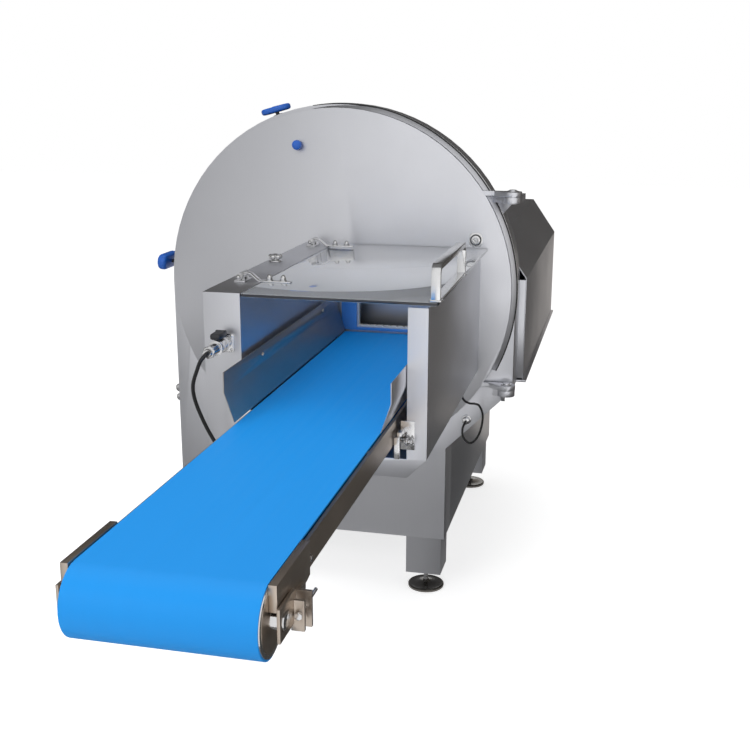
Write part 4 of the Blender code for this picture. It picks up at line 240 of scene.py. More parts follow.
# Routes of the two cables, with the same points as the frame's own solids
PLUG_CABLE_ROUTE = [
    (0.0600, -0.8003, -0.2449),
    (0.0600, -0.8083, -0.2449),
    (0.0600, -0.8163, -0.2449),
    (0.0500, -0.8330, -0.2530),
    (0.0250, -0.8320, -0.2580),
    (-0.0120, -0.8220, -0.2500),
    (-0.0450, -0.8180, -0.2280),
    (-0.0647, -0.8250, -0.1930),
    (-0.0782, -0.8400, -0.1499),
    (-0.0887, -0.8550, -0.1005),
    (-0.0855, -0.8700, -0.0623),
    (-0.0664, -0.8900, -0.0225),
    (-0.0510, -0.9060, 0.0020),
    (-0.0410, -0.8993, 0.0156),
    (-0.0410, -0.8933, 0.0156),
    (-0.0410, -0.8873, 0.0156),
]
HINGE_CABLE_ROUTE = [
    (0.4045, -0.2310, -0.2275),
    (0.4045, -0.2310, -0.2325),
    (0.4045, -0.2310, -0.2375),
    (0.4090, -0.2080, -0.2540),
    (0.4150, -0.1550, -0.2750),
    (0.4200, -0.0950, -0.2930),
    (0.4270, -0.0520, -0.3120),
    (0.4345, -0.0330, -0.3450),
    (0.4290, -0.0310, -0.3900),
    (0.4130, -0.0320, -0.4220),
    (0.3960, -0.0330, -0.4290),
    (0.3800, -0.0330, -0.4130),
    (0.3765, -0.0270, -0.3910),
    (0.3816, -0.0148, -0.3753),
    (0.3816, -0.0088, -0.3753),
    (0.3816, -0.0028, -0.3753),
]

# Finish of each of the frame's nodes. The others are polished steel.
NODE_FINISHES = {
    "ground": (
        "blade_housing back_plate door_panel guard_frame rear_panel hinge_bracket_upper "
        "hinge_bracket_lower cabinet_shell infeed_hood infeed_trough blade guide_right"
    ),
    # The conveyor's frame, left guide and take-up plates get the stainless painted darker and warmer,
    # a painted shade
    "mill": "conveyor_frame guide_left takeup_left takeup_right",
    "iron": "bearing_housing blade_motor feed_motor",
    "belt": "belt",
    "blue": "latch_top latch_left lid_stop",
    "bright": "blue_strip",
    "lid": "lid",
    "white": "window_frame",
    "black": "plug_lever",
    "rubber": "door_seal drive_belt cable_left cable_right",
}
# Nodes whose edges stay as cut, because rounding them would open their fine shapes
UNROUNDED = {"cable_left", "cable_right", "lead_screw", "blade", "belt"}
BELT_TRACK = (14 * MM, 900 * MM, 300 * MM)  # width, length and depth of a worn track
WEAVE_PITCH = 2.2 * MM
# Part of a noise pattern's values that is stretched to the limits of a finish
MIDDLE_RANGE = {"From Min": 0.3, "From Max": 0.7}
finishes = {}


def linear(code):
    """Linear colour of an sRGB hex code."""
    channels = [int(code[i : i + 2], 16) / 255 for i in (1, 3, 5)]
    return tuple(c / 12.92 if c <= 0.04045 else ((c + 0.055) / 1.055) ** 2.4 for c in channels)


def at(x, y, z):
    """A place on the machine in the frame's own coordinates."""
    return BLADE_AXIS + Vector((x, y, z))


def mm(points):
    """Points of an outline that is given in millimetres."""
    return [(a * MM, b * MM) for a, b in points]


def colour_of(name, description, code):
    """Setting for a colour."""
    return FloatVectorProperty(
        name=name, description=description, subtype="COLOR", default=linear(code)
    )


def length_of(name, description, value):
    """Setting for a length."""
    return FloatProperty(
        name=name, description=description, default=value, subtype="DISTANCE", unit="LENGTH"
    )


def angle_of(name, description, degrees):
    """Setting for an angle."""
    return FloatProperty(
        name=name,
        description=description,
        default=math.radians(degrees),
        subtype="ANGLE",
        unit="ROTATION",
    )


def number_of(name, description, value):
    """Setting for a plain number."""
    return FloatProperty(name=name, description=description, default=value)


class SlicerFinishSettings(PropertyGroup):
    """Colours and surface sizes of the materials."""

    ground_steel: colour_of("Ground steel", "Colour of the ground stainless sheet", "#dcdde2")
    # The second stainless colour is painted shade: the same stainless as the ground sheet, painted
    # darker and warmer for the conveyor's side sheets
    mill_steel: colour_of("Mill steel", "Colour of the mill-finished stainless", "#c0b4a8")
    polished_steel: colour_of("Polished steel", "Colour of the polished fittings", "#d9d9da")
    # The feet's steel colour is painted shade: polished steel painted near black for the dark
    # underside it reflects
    dark_steel: colour_of("Dark steel", "Colour of the oxidised feet", "#65625e")
    cast_iron: colour_of("Enamelled iron", "Colour of the motors and the bearings", "#6f7377")
    belt: colour_of("Belt", "Colour of the urethane conveyor belt", "#0b94ea")
    blue_nylon: colour_of("Blue nylon", "Colour of the handles and the bumper", "#1a5cba")
    bright_blue: colour_of("Bright blue nylon", "Colour of the strip beside the window", "#5ca8ff")
    lid_tint: colour_of("Lid tint", "Tint of the clear lid", "#dfe2e6")
    # Painted shade on the clear lid's cut edges
    lid_edge: colour_of("Lid edge", "Colour of the clear lid's cut edges", "#23262e")
    white_acetal: colour_of("White acetal", "Colour of the window's frame", "#e4e4e2")
    black_nylon: colour_of("Black nylon", "Colour of the plug's lever", "#262629")
    black_rubber: colour_of("Black rubber", "Colour of the seal and the cables", "#1d1d1f")
    grain_spacing: length_of(
        "Grain spacing",
        "Distance between grinding lines, drawn coarser than real grit so it shows",
        0.9 * MM,
    )
    grain_length: length_of("Grain length", "Length of one grinding line", 70 * MM)
    edge_radius: length_of("Edge radius", "Rounding of folded and cut edges", 0.8 * MM)


class SlicerCableSettings(PropertyGroup):
    """Sizes of the two cables."""

    plug_cable: length_of("Plug cable", "Diameter of the cable in the plug", 8.4 * MM)
    hinge_cable: length_of("Hinge cable", "Diameter of the cable across the hinge", 6.0 * MM)


class SlicerFittingSettings(PropertyGroup):
    """Sizes of the handles and small fittings."""

    latch_length: length_of("Latch length", "Length of a latch's handle", 86 * MM)
    latch_width: length_of("Latch width", "Width of a latch's handle", 46 * MM)
    latch_thickness: length_of("Latch thickness", "Thickness of a latch's handle", 16 * MM)
    latch_top_reach: length_of(
        "Top latch reach", "Middle of the top latch's handle from the blade's axis", 528 * MM
    )
    latch_left_reach: length_of(
        "Left latch reach", "Middle of the left latch's handle from the blade's axis", 545 * MM
    )
    bumper_radius: length_of("Bumper radius", "Radius of the lid's bumper", 13.5 * MM)
    foot_radius: length_of("Foot radius", "Radius of a levelling foot's plate", 55 * MM)
    acorn_radius: length_of("Acorn nut radius", "Radius of the straps' acorn nuts", 7 * MM)


class SlicerStageSettings(PropertyGroup):
    """Camera, lamps and floor."""

    lens: number_of("Lens", "Focal length in millimetres", 52.65)
    camera_place: FloatVectorProperty(
        name="Camera place",
        description="Camera's place on the machine's coordinates",
        subtype="TRANSLATION",
        unit="LENGTH",
        default=(0.8178, -2.9968, 0.5741),
    )
    yaw: angle_of("Yaw", "Turn to the left of straight ahead", 13.24)
    pitch: angle_of("Pitch", "Tilt below the horizon", 15.07)
    roll: angle_of("Roll", "Turn about the line of sight", 0.11)
    key_power: number_of("Key power", "Power of the large front lamp in watts", 70)
    top_power: number_of("Top power", "Power of the lamp overhead in watts", 60)
    world_strength: number_of("World strength", "Strength of the even light all round", 0.55)
    floor_glow: number_of("Floor glow", "White that the floor shows to the eye alone", 0.62)
    floor_half: length_of("Floor half width", "Half the width of the floor", 14.0)


def add_node(tree, kind, settings=None, inputs=None):
    """Adds a shader node with its settings, and its inputs as values or links."""
    node = tree.nodes.new(kind)
    for name, value in (settings or {}).items():
        setattr(node, name, value)
    for name, value in (inputs or {}).items():
        if isinstance(value, bpy.types.NodeSocket):
            tree.links.new(value, node.inputs[name])
        else:
            node.inputs[name].default_value = value
    return node


def new_material(name, colour, **sockets):
    """A material with a Principled shader whose plain values are set on its own sockets."""
    material = bpy.data.materials.new(name)
    material.use_nodes = True
    shader = material.node_tree.nodes["Principled BSDF"]
    shader.inputs["Base Color"].default_value = (*colour, 1)
    for socket, value in sockets.items():
        title = socket.replace("_", " ").title().replace("Ior", "IOR")
        shader.inputs[title].default_value = value
    return material, material.node_tree, shader


def surface(material, shader):
    """Makes a shader the surface of its material."""
    tree = material.node_tree
    tree.links.new(shader.outputs[0], tree.nodes["Material Output"].inputs["Surface"])


def vary(tree, shader, colour, share, strength, rough, pattern, shade=None, skin=None, depth=0.1 * MM):
    """Lets patterns move a shader's roughness between two limits, its colour by a share of
    itself and its relief. The shade and the skin are the same pattern unless they are given."""
    if rough:
        limits = {"Value": pattern, **MIDDLE_RANGE, "To Min": rough[0], "To Max": rough[1]}
        gloss = add_node(tree, "ShaderNodeMapRange", None, limits)
        tree.links.new(gloss.outputs[0], shader.inputs["Roughness"])
    dark, pale = ((*[min(1, c * (1 + way * share)) for c in colour], 1) for way in (-1, 1))
    tones = {0: shade or pattern, 6: dark, 7: pale}
    toned = add_node(tree, "ShaderNodeMix", {"data_type": "RGBA"}, tones)
    tree.links.new(toned.outputs[2], shader.inputs["Base Color"])
    raised = {"Strength": strength, "Distance": depth, "Height": skin or pattern}
    relief = add_node(tree, "ShaderNodeBump", None, raised)
    tree.links.new(relief.outputs[0], shader.inputs["Normal"])


def clouds(tree, size, detail=3.0):
    """Soft uneven patches of about one size in metres."""
    place = add_node(tree, "ShaderNodeTexCoord").outputs["Object"]
    return add_node(
        tree,
        "ShaderNodeTexNoise",
        None,
        {"Vector": place, "Scale": 1 / size, "Detail": detail, "Roughness": 0.55},
    ).outputs[0]


def grain(tree, along, spacing, length):
    """Fine lines along one axis, and along y on the faces that look sideways."""
    own = add_node(tree, "ShaderNodeTexCoord")
    split = add_node(tree, "ShaderNodeSeparateXYZ", None, {0: own.outputs["Normal"]})
    sideways = add_node(tree, "ShaderNodeMath", {"operation": "ABSOLUTE"}, {0: split.outputs[0]})
    stretched = []
    for axis in (along, "y"):
        scale = [1 / length if axis == name else 1 / spacing for name in "xyz"]
        place = {"Vector": own.outputs["Object"], "Scale": scale}
        stretched.append(add_node(tree, "ShaderNodeMapping", None, place).outputs[0])
    turned = {"Value": sideways.outputs[0], **MIDDLE_RANGE}
    side = add_node(tree, "ShaderNodeMapRange", None, turned).outputs[0]
    ways = {0: side, 4: stretched[0], 5: stretched[1]}
    vector = add_node(tree, "ShaderNodeMix", {"data_type": "VECTOR"}, ways)
    return add_node(
        tree,
        "ShaderNodeTexNoise",
        None,
        {"Vector": vector.outputs[1], "Scale": 1.0, "Detail": 3.0, "Roughness": 0.6},
    ).outputs[0]


def sheet_steel(settings, name, colour, roughness, along):
    """Stainless sheet with a ground finish: long fine lines that stretch each highlight, and
    faint patches where hands and cloths have wiped it."""
    material, tree, shader = new_material(name, colour, metallic=1.0, roughness=roughness)
    lines = grain(tree, along, settings.grain_spacing, settings.grain_length)
    limits = ((lines, -0.05, 0.05), (clouds(tree, 160 * MM), roughness - 0.04, roughness + 0.04))
    parts = {}
    for index, (value, low, high) in enumerate(limits):
        spread = {"Value": value, **MIDDLE_RANGE, "To Min": low, "To Max": high}
        parts[index] = add_node(tree, "ShaderNodeMapRange", None, spread).outputs[0]
    rough = add_node(tree, "ShaderNodeMath", {"operation": "ADD"}, parts)
    tree.links.new(rough.outputs[0], shader.inputs["Roughness"])
    vary(tree, shader, colour, 0.035, 0.05, None, lines)
    return material


def ground_stainless(settings):
    """Stainless steel sheet, ground with a fine belt: satin, pale, lines running up."""
    return sheet_steel(settings, "ground_stainless_sheet", settings.ground_steel, 0.40, "z")


def mill_stainless(settings):
    """Stainless sheet painted darker and warmer than the ground sheet, a painted shade on the
    conveyor's frame, left guide and take-up plates.
    """
    return sheet_steel(settings, "stainless_sheet_painted_side_shade", settings.mill_steel, 0.38, "y")


def polished_stainless(settings):
    """Polished stainless bar and plate: sharp highlights with fine handling marks."""
    colour = settings.polished_steel
    material, tree, shader = new_material(
        "polished_stainless_bar", colour, metallic=1.0, roughness=0.2
    )
    vary(tree, shader, colour, 0.03, 0.03, (0.14, 0.26), clouds(tree, 6 * MM, 5.0))
    return material


def darkened_steel(settings):
    """Polished steel painted near black, a painted shade for the dark underside that the feet reflect,
    with a hard bright highlight.
    """
    colour = settings.dark_steel
    material, tree, shader = new_material(
        "polished_steel_painted_shade", colour, metallic=1.0, roughness=0.2
    )
    vary(tree, shader, colour, 0.1, 0.04, (0.16, 0.27), clouds(tree, 8 * MM, 4.0))
    return material


def enamelled_iron(settings):
    """Cast iron under thick enamel: a soft gloss over a faintly pebbled skin."""
    colour = settings.cast_iron
    material, tree, shader = new_material(
        "enamelled_cast_iron", colour, metallic=0.0, roughness=0.42, ior=1.52
    )
    pebble, shade = clouds(tree, 2.5 * MM, 4.0), clouds(tree, 60 * MM)
    vary(tree, shader, colour, 0.06, 0.12, (0.36, 0.5), pebble, shade=shade, depth=0.3 * MM)
    return material


def moulded_nylon(name, colour, roughness):
    """Glass-filled nylon from a spark-eroded mould: fine even pebble under a half gloss."""
    material, tree, shader = new_material(
        name, colour, metallic=0.0, roughness=roughness, ior=1.53
    )
    pebble, shade = clouds(tree, 1.2 * MM, 2.0), clouds(tree, 25 * MM)
    rough = (roughness - 0.05, roughness + 0.07)
    vary(tree, shader, colour, 0.06, 0.1, rough, pebble, shade=shade)
    return material


def black_rubber(settings):
    """Extruded rubber: matt, nearly black, slightly chalky where it has been handled."""
    colour = settings.black_rubber
    material, tree, shader = new_material(
        "extruded_rubber", colour, metallic=0.0, roughness=0.55, ior=1.52
    )
    chalk, skin = clouds(tree, 12 * MM, 5.0), clouds(tree, 1 * MM)
    vary(tree, shader, colour, 0.25, 0.06, (0.46, 0.66), chalk, skin=skin)
    return material


def urethane_belt(settings):
    """Blue urethane cast on a woven carrier: silky, with the weave just showing through and
    faint tracks along the run where product has slid."""
    material, tree, shader = new_material(
        "cast_urethane_belt", settings.belt, metallic=0.0, roughness=0.5, ior=1.5
    )
    shader.inputs["Specular IOR Level"].default_value = 0.3
    place = add_node(tree, "ShaderNodeTexCoord").outputs["Object"]
    track = [1 / size for size in BELT_TRACK]
    tracks = add_node(tree, "ShaderNodeMapping", None, {"Vector": place, "Scale": track})
    slid = add_node(
        tree,
        "ShaderNodeTexNoise",
        None,
        {"Vector": tracks.outputs[0], "Scale": 1.0, "Detail": 4.0},
    ).outputs[0]
    weave = [
        add_node(
            tree,
            "ShaderNodeTexWave",
            {"bands_direction": direction, "wave_profile": "SIN"},
            {"Vector": place, "Scale": 1 / WEAVE_PITCH / 3.14, "Distortion": 0.4},
        ).outputs["Fac"]
        for direction in ("X", "Y")
    ]
    crossed = {0: weave[0], 1: weave[1]}
    cloth = add_node(tree, "ShaderNodeMath", {"operation": "MULTIPLY"}, crossed).outputs[0]
    vary(tree, shader, settings.belt, 0.015, 0.05, (0.47, 0.53), slid, skin=cloth)
    return material


def clear_lid_sheet(settings):
    """Hard-coated polycarbonate sheet: clear with a faint grey tint, with painted shade on its cut
    edges, and its coating throws back the door behind it at a flat angle."""
    material, tree, shader = new_material(
        "hard_coated_polycarbonate", settings.lid_tint, metallic=0.0, roughness=0.04, ior=1.58
    )
    shader.inputs["Coat IOR"].default_value = 2.2
    shader.inputs["Coat Roughness"].default_value = 0.02
    smears = {"Value": clouds(tree, 90 * MM, 5.0), **MIDDLE_RANGE, "To Min": 0.03, "To Max": 0.07}
    gloss = add_node(tree, "ShaderNodeMapRange", None, smears)
    # Painted shade: faces that stand upright, the sheet's cut edges, take the dark edge colour and let
    # less light through
    normal = add_node(tree, "ShaderNodeTexCoord").outputs["Normal"]
    upright = add_node(tree, "ShaderNodeSeparateXYZ", None, {0: normal})
    flat = add_node(tree, "ShaderNodeMath", {"operation": "ABSOLUTE"}, {0: upright.outputs[2]})
    facing = {"Value": flat.outputs[0], **MIDDLE_RANGE}
    face = add_node(tree, "ShaderNodeMapRange", None, facing).outputs[0]
    edge = add_node(
        tree,
        "ShaderNodeMix",
        {"data_type": "RGBA"},
        {0: face, 6: (*settings.lid_edge, 1), 7: (*settings.lid_tint, 1)},
    )
    clearness = add_node(tree, "ShaderNodeMath", {"operation": "MULTIPLY"}, {0: face, 1: 0.72})
    tree.links.new(gloss.outputs[0], shader.inputs["Roughness"])
    tree.links.new(edge.outputs[2], shader.inputs["Base Color"])
    tree.links.new(face, shader.inputs["Coat Weight"])
    tree.links.new(clearness.outputs[0], shader.inputs["Transmission Weight"])
    # Lamps and bounced light shine through the sheet, losing a little
    light = either(tree, "Is Shadow Ray", "Is Diffuse Ray")
    clear = add_node(tree, "ShaderNodeBsdfTransparent", None, {"Color": (0.86, 0.87, 0.89, 1)})
    both = {0: light, 1: shader.outputs[0], 2: clear.outputs[0]}
    surface(material, add_node(tree, "ShaderNodeMixShader", None, both))
    return material


def either(tree, *kinds):
    """One where a ray is of any of the kinds that are named, and nothing elsewhere."""
    path = add_node(tree, "ShaderNodeLightPath")
    found = path.outputs[kinds[0]]
    for kind in kinds[1:]:
        pair = {0: found, 1: path.outputs[kind]}
        found = add_node(tree, "ShaderNodeMath", {"operation": "MAXIMUM"}, pair).outputs[0]
    return found


def new_piece(name, build, material):
    """Makes a smooth mesh with sharp creases by a building function."""
    mesh = bpy.data.meshes.new(name)
    bm = bmesh.new()
    build(bm)
    bmesh.ops.recalc_face_normals(bm, faces=bm.faces)
    bm.to_mesh(mesh)
    bm.free()
    mesh.polygons.foreach_set("use_smooth", [True] * len(mesh.polygons))
    mesh.set_sharp_from_angle(angle=SHARP_ANGLE)
    mesh.materials.append(material)
    obj = bpy.data.objects.new(name, mesh)
    bpy.context.scene.collection.objects.link(obj)
    return obj


def fit_piece(name, build, finish, body, replaced=None):
    """Makes a piece that rides on a body, and hides the node that it stands for."""
    obj = new_piece(name, build, finishes[finish])
    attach(obj, body)
    if replaced:
        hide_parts(replaced)


def pointing(place, axis):
    """Matrix that puts what is built up z at a place along an axis."""
    return Matrix.Translation(place) @ Vector(axis).to_track_quat("Z", "Y").to_matrix().to_4x4()


def placed(point, axis):
    """Matrix that sets what is built up z on the machine, at a place and along an axis."""
    return pointing(at(*point), axis)


def ring_of(count, radius):
    """Points of a ring about the middle."""
    angles = [2 * math.pi * index / count for index in range(count)]
    return [(radius * math.cos(angle), radius * math.sin(angle)) for angle in angles]


def join_rings(bm, low, high):
    """Adds a band of faces between two rings of corners."""
    faces = []
    for index in range(len(low)):
        after = (index + 1) % len(low)
        faces.append(bm.faces.new((low[index], low[after], high[after], high[index])))
    return faces


def skin(bm, rings):
    """Adds the faces over a row of rings and closes both ends."""
    faces = [bm.faces.new(rings[0][::-1]), bm.faces.new(rings[-1])]
    for low, high in zip(rings, rings[1:]):
        faces += join_rings(bm, low, high)
    return faces


def round_off(bm, faces, edge, segments=2):
    """Rounds the sharp edges of some faces."""
    bmesh.ops.recalc_face_normals(bm, faces=faces)
    edges = {e for face in faces for e in face.edges}
    sharp = [e for e in edges if e.calc_face_angle(0) > SHARP_ANGLE]
    bmesh.ops.bevel(bm, geom=sharp, offset=edge, segments=segments, profile=0.5, affect="EDGES")


def turn_profile(bm, profile, matrix, sides=SMALL_SIDES):
    """Adds a closed turned shape from (radius, height) pairs that start and end on the axis."""
    rings = []
    for radius, height in profile:
        points = ring_of(sides, radius) if radius > 1e-7 else [(0, 0)]
        rings.append([bm.verts.new(matrix @ Vector((x, y, height))) for x, y in points])
    for low, high in zip(rings, rings[1:]):
        if len(low) == len(high) == sides:
            join_rings(bm, low, high)
            continue
        for side in range(sides):
            after = (side + 1) % sides
            if len(high) == sides:
                bm.faces.new((low[0], high[after], high[side]))
            elif len(low) == sides:
                bm.faces.new((low[side], low[after], high[0]))


def prism(bm, outline, low, high, matrix, edge=0.0, segments=2):
    """Adds an outline in the x-y plane, given a height and rounded edges."""
    rings = [[bm.verts.new(matrix @ Vector((x, y, z))) for x, y in outline] for z in (low, high)]
    faces = skin(bm, rings)
    if edge:
        round_off(bm, faces, edge, segments)


def box(bm, size, matrix, edge):
    """Adds a block of one size about its middle, with rounded edges."""
    x, y, z = (value / 2 for value in size)
    prism(bm, [(-x, -y), (x, -y), (x, y), (-x, y)], -z, z, matrix, edge)


def ribbon(bm, points, width, thickness, across, edge):
    """Adds a flat strip that follows a bent line of places in one plane."""
    line = [at(*point) for point in points]
    sides = []
    for index, point in enumerate(line):
        ways = []
        if index:
            ways.append((point - line[index - 1]).normalized())
        if index < len(line) - 1:
            ways.append((line[index + 1] - point).normalized())
        out = sum(ways, Vector()).normalized().cross(across)
        out /= max(0.5, out.normalized().dot(ways[0].cross(across)))
        sides.append((point + out * thickness / 2, point - out * thickness / 2))
    outline = [a for a, b in sides] + [b for a, b in reversed(sides)]
    half = across * width / 2
    rings = [[bm.verts.new(point + way * half) for point in outline] for way in (-1, 1)]
    round_off(bm, skin(bm, rings), edge)


def sweep(bm, line, radius):
    """Adds a round tube along a line, closed at both ends."""
    rings = []
    for index, point in enumerate(line):
        ahead = (line[min(index + 1, len(line) - 1)] - line[max(index - 1, 0)]).normalized()
        if not rings:
            side = ahead.cross(UP if abs(ahead.z) < 0.9 else RIGHT).normalized()
        else:
            side = (side - ahead * side.dot(ahead)).normalized()
        other = ahead.cross(side)
        around = ring_of(CABLE_SIDES, radius)
        rings.append([bm.verts.new(point + (side * x + other * y)) for x, y in around])
    skin(bm, rings)


def arc_band(bm, profile):
    """Adds a profile of (radius, depth) pairs, turned part of the way round the blade's axis
    and drawn in towards its smallest radius over the last part."""
    inner = min(radius for radius, depth in profile)
    rings = []
    for step in range(RIM_STEPS + 1):
        share = step / RIM_STEPS
        angle = RIM_START + (RIM_END - RIM_START) * share
        full = min(1, (1 - share) / RIM_TAPER_SHARE) * (1 - RIM_END_SHARE) + RIM_END_SHARE
        ring = []
        for radius, depth in profile:
            reach = inner + (radius - inner) * full
            ring.append(bm.verts.new(at(reach * math.cos(angle), depth, reach * math.sin(angle))))
        rings.append(ring)
    skin(bm, rings)


def smooth_line(route):
    """Points of a smooth line through the points of a route."""
    points = [at(*point) for point in route]
    ends = [2 * points[0] - points[1]] + points + [2 * points[-1] - points[-2]]
    found = []
    for index in range(len(points) - 1):
        before, first, second, after = ends[index : index + 4]
        for step in range(CABLE_STEPS):
            t = step / CABLE_STEPS
            found.append(
                (
                    2 * first
                    + (second - before) * t
                    + (2 * before - 5 * first + 4 * second - after) * t**2
                    + (3 * first - before - 3 * second + after) * t**3
                )
                / 2
            )
    return found + [points[-1]]


def rounded(width, height, radius, steps=5):
    """Outline of a rectangle with round corners, about its middle."""
    outline = []
    for corner, (side_x, side_y) in enumerate(((1, 1), (-1, 1), (-1, -1), (1, -1))):
        for step in range(steps + 1):
            angle = math.pi / 2 * (corner + step / steps)
            x = side_x * (width / 2 - radius) + radius * math.cos(angle)
            y = side_y * (height / 2 - radius) + radius * math.sin(angle)
            outline.append((x, y))
    return outline


def chamfered(bm, radius, length, rim, matrix, sides=SMALL_SIDES):
    """Adds a round bar or disc with chamfered ends."""
    profile = [(0, 0), (radius - rim, 0), (radius, rim), (radius, length - rim)]
    turn_profile(bm, profile + [(radius - rim, length), (0, length)], matrix, sides)


def washer(bm, point, axis, radius, thickness):
    """Adds a flat washer or a round nut."""
    chamfered(bm, radius, thickness, thickness * 0.25, placed(point, axis), ROUND_SIDES)


def rod_along(bm, start, end, radius):
    """Adds a round bar between two places on the machine."""
    way = Vector(end) - Vector(start)
    rim = min(radius * 0.25, way.length * 0.2)
    chamfered(bm, radius, way.length, rim, placed(start, way))


def threaded_rod(bm, matrix, length, radius, pitch):
    """Adds a bar with turned grooves at a thread's pitch."""
    profile = [(0, 0), (radius * 0.8, 0)]
    for index in range(int(length / pitch)):
        low = index * pitch
        for share, height in ((0.86, 0.1), (1, 0.45), (1, 0.55), (0.86, 0.9)):
            profile.append((radius * share, low + pitch * height))
    turn_profile(bm, profile + [(radius * 0.8, length), (0, length)], matrix)


def hex_nut(bm, point, axis, radius, height, turn=0.0):
    """Adds a six-sided nut or bolt head with a chamfered, slightly domed outer end."""
    matrix = placed(point, axis) @ Matrix.Rotation(turn, 4, "Z")
    prism(bm, ring_of(6, radius), 0, height * 0.88, matrix, radius * 0.06, segments=1)
    shares = ((0, 0.5), (0.84, 0.5), (0.84, 0.94), (0.78, 1), (0, 1))
    turn_profile(bm, [(radius * a, height * b) for a, b in shares], matrix)


def dome_nut(bm, point, axis, radius, height):
    """Adds an acorn nut: washer face, six flats and a polished dome."""
    matrix = placed(point, axis)
    shares = ((0, 0), (1.12, 0), (1.12, 0.08), (0, 0.08))
    turn_profile(bm, [(radius * a, height * b) for a, b in shares], matrix)
    prism(bm, ring_of(6, radius), height * 0.06, height * 0.5, matrix, radius * 0.07)
    steps = 6
    dome = [(0, height * 0.3), (radius * 0.8, height * 0.3)]
    for step in range(steps):
        angle = math.pi / 2 * step / steps
        dome.append((radius * 0.8 * math.cos(angle), height * (1 + math.sin(angle)) / 2))
    turn_profile(bm, dome + [(0, height)], matrix)


class SLICER_OT_camera(Operator):
    """Sets the camera at the photograph's view of the machine."""

    bl_idname = "slicer.camera"
    bl_label = "Camera"

    def execute(self, context):
        stage = context.scene.slicer_stage
        data = bpy.data.cameras.new("camera")
        data.lens = stage.lens
        camera = bpy.data.objects.new("camera", data)
        context.scene.collection.objects.link(camera)
        turn = (
            Matrix.Rotation(stage.yaw, 4, "Z")
            @ Matrix.Rotation(math.pi / 2 - stage.pitch, 4, "X")
            @ Matrix.Rotation(stage.roll, 4, "Z")
        )
        camera.matrix_world = Matrix.Translation(at(*stage.camera_place)) @ turn
        context.scene.camera = camera
        return {"FINISHED"}


class SLICER_OT_finishes(Operator):
    """Gives every solid of the frame its finish and its rounded edges."""

    bl_idname = "slicer.finishes"
    bl_label = "Finishes"

    def execute(self, context):
        settings = context.scene.slicer_finish
        finishes.update(
            ground=ground_stainless(settings),
            mill=mill_stainless(settings),
            polished=polished_stainless(settings),
            iron=enamelled_iron(settings),
            belt=urethane_belt(settings),
            blue=moulded_nylon("moulded_blue_nylon", settings.blue_nylon, 0.34),
            bright=moulded_nylon("moulded_bright_blue_nylon", settings.bright_blue, 0.34),
            lid=clear_lid_sheet(settings),
            white=moulded_nylon("machined_white_acetal", settings.white_acetal, 0.4),
            black=moulded_nylon("moulded_black_nylon", settings.black_nylon, 0.45),
            rubber=black_rubber(settings),
            dark=darkened_steel(settings),
        )
        given = {name: key for key, names in NODE_FINISHES.items() for name in names.split()}
        for name, solid in frame["nodes"].items():
            solid.data.materials.clear()
            solid.data.materials.append(finishes[given.get(name, "polished")])
            self.round_edges(solid, settings.edge_radius, name in UNROUNDED)
        return {"FINISHED"}

    def round_edges(self, solid, radius, plain):
        solid.data.polygons.foreach_set("use_smooth", [True] * len(solid.data.polygons))
        weld = solid.modifiers.new("weld", "WELD")
        weld.merge_threshold = WELD_DISTANCE
        if not plain:
            bevel = solid.modifiers.new("edges", "BEVEL")
            bevel.width = radius
            bevel.segments = 2
            bevel.limit_method = "ANGLE"
            bevel.angle_limit = SHARP_ANGLE
            bevel.use_clamp_overlap = True
        split = solid.modifiers.new("creases", "EDGE_SPLIT")
        split.split_angle = SHARP_ANGLE
        split.use_edge_sharp = False


class SLICER_OT_cables(Operator):
    """Lays the plug's cable and the cable that crosses the door's hinge."""

    bl_idname = "slicer.cables"
    bl_label = "Cables"

    def execute(self, context):
        sizes = context.scene.slicer_cables
        plug, line = self.cable("plug_cable", PLUG_CABLE_ROUTE, sizes.plug_cable)
        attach(plug, "door")
        pieces = [frame["nodes"]["plug"]]
        self.declare(plug, "cable_left", line, sizes.plug_cable, "connector", pieces)
        hinge, line = self.cable("hinge_cable", HINGE_CABLE_ROUTE, sizes.hinge_cable)
        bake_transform(hinge)
        self.declare(hinge, "cable_right", line, sizes.hinge_cable, "object", [])
        return {"FINISHED"}

    def cable(self, name, route, diameter):
        line = smooth_line(route)
        piece = new_piece(name, lambda bm: sweep(bm, line, diameter / 2), finishes["rubber"])
        return piece, line

    def declare(self, cable, node, line, diameter, far_end, pieces):
        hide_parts(node)


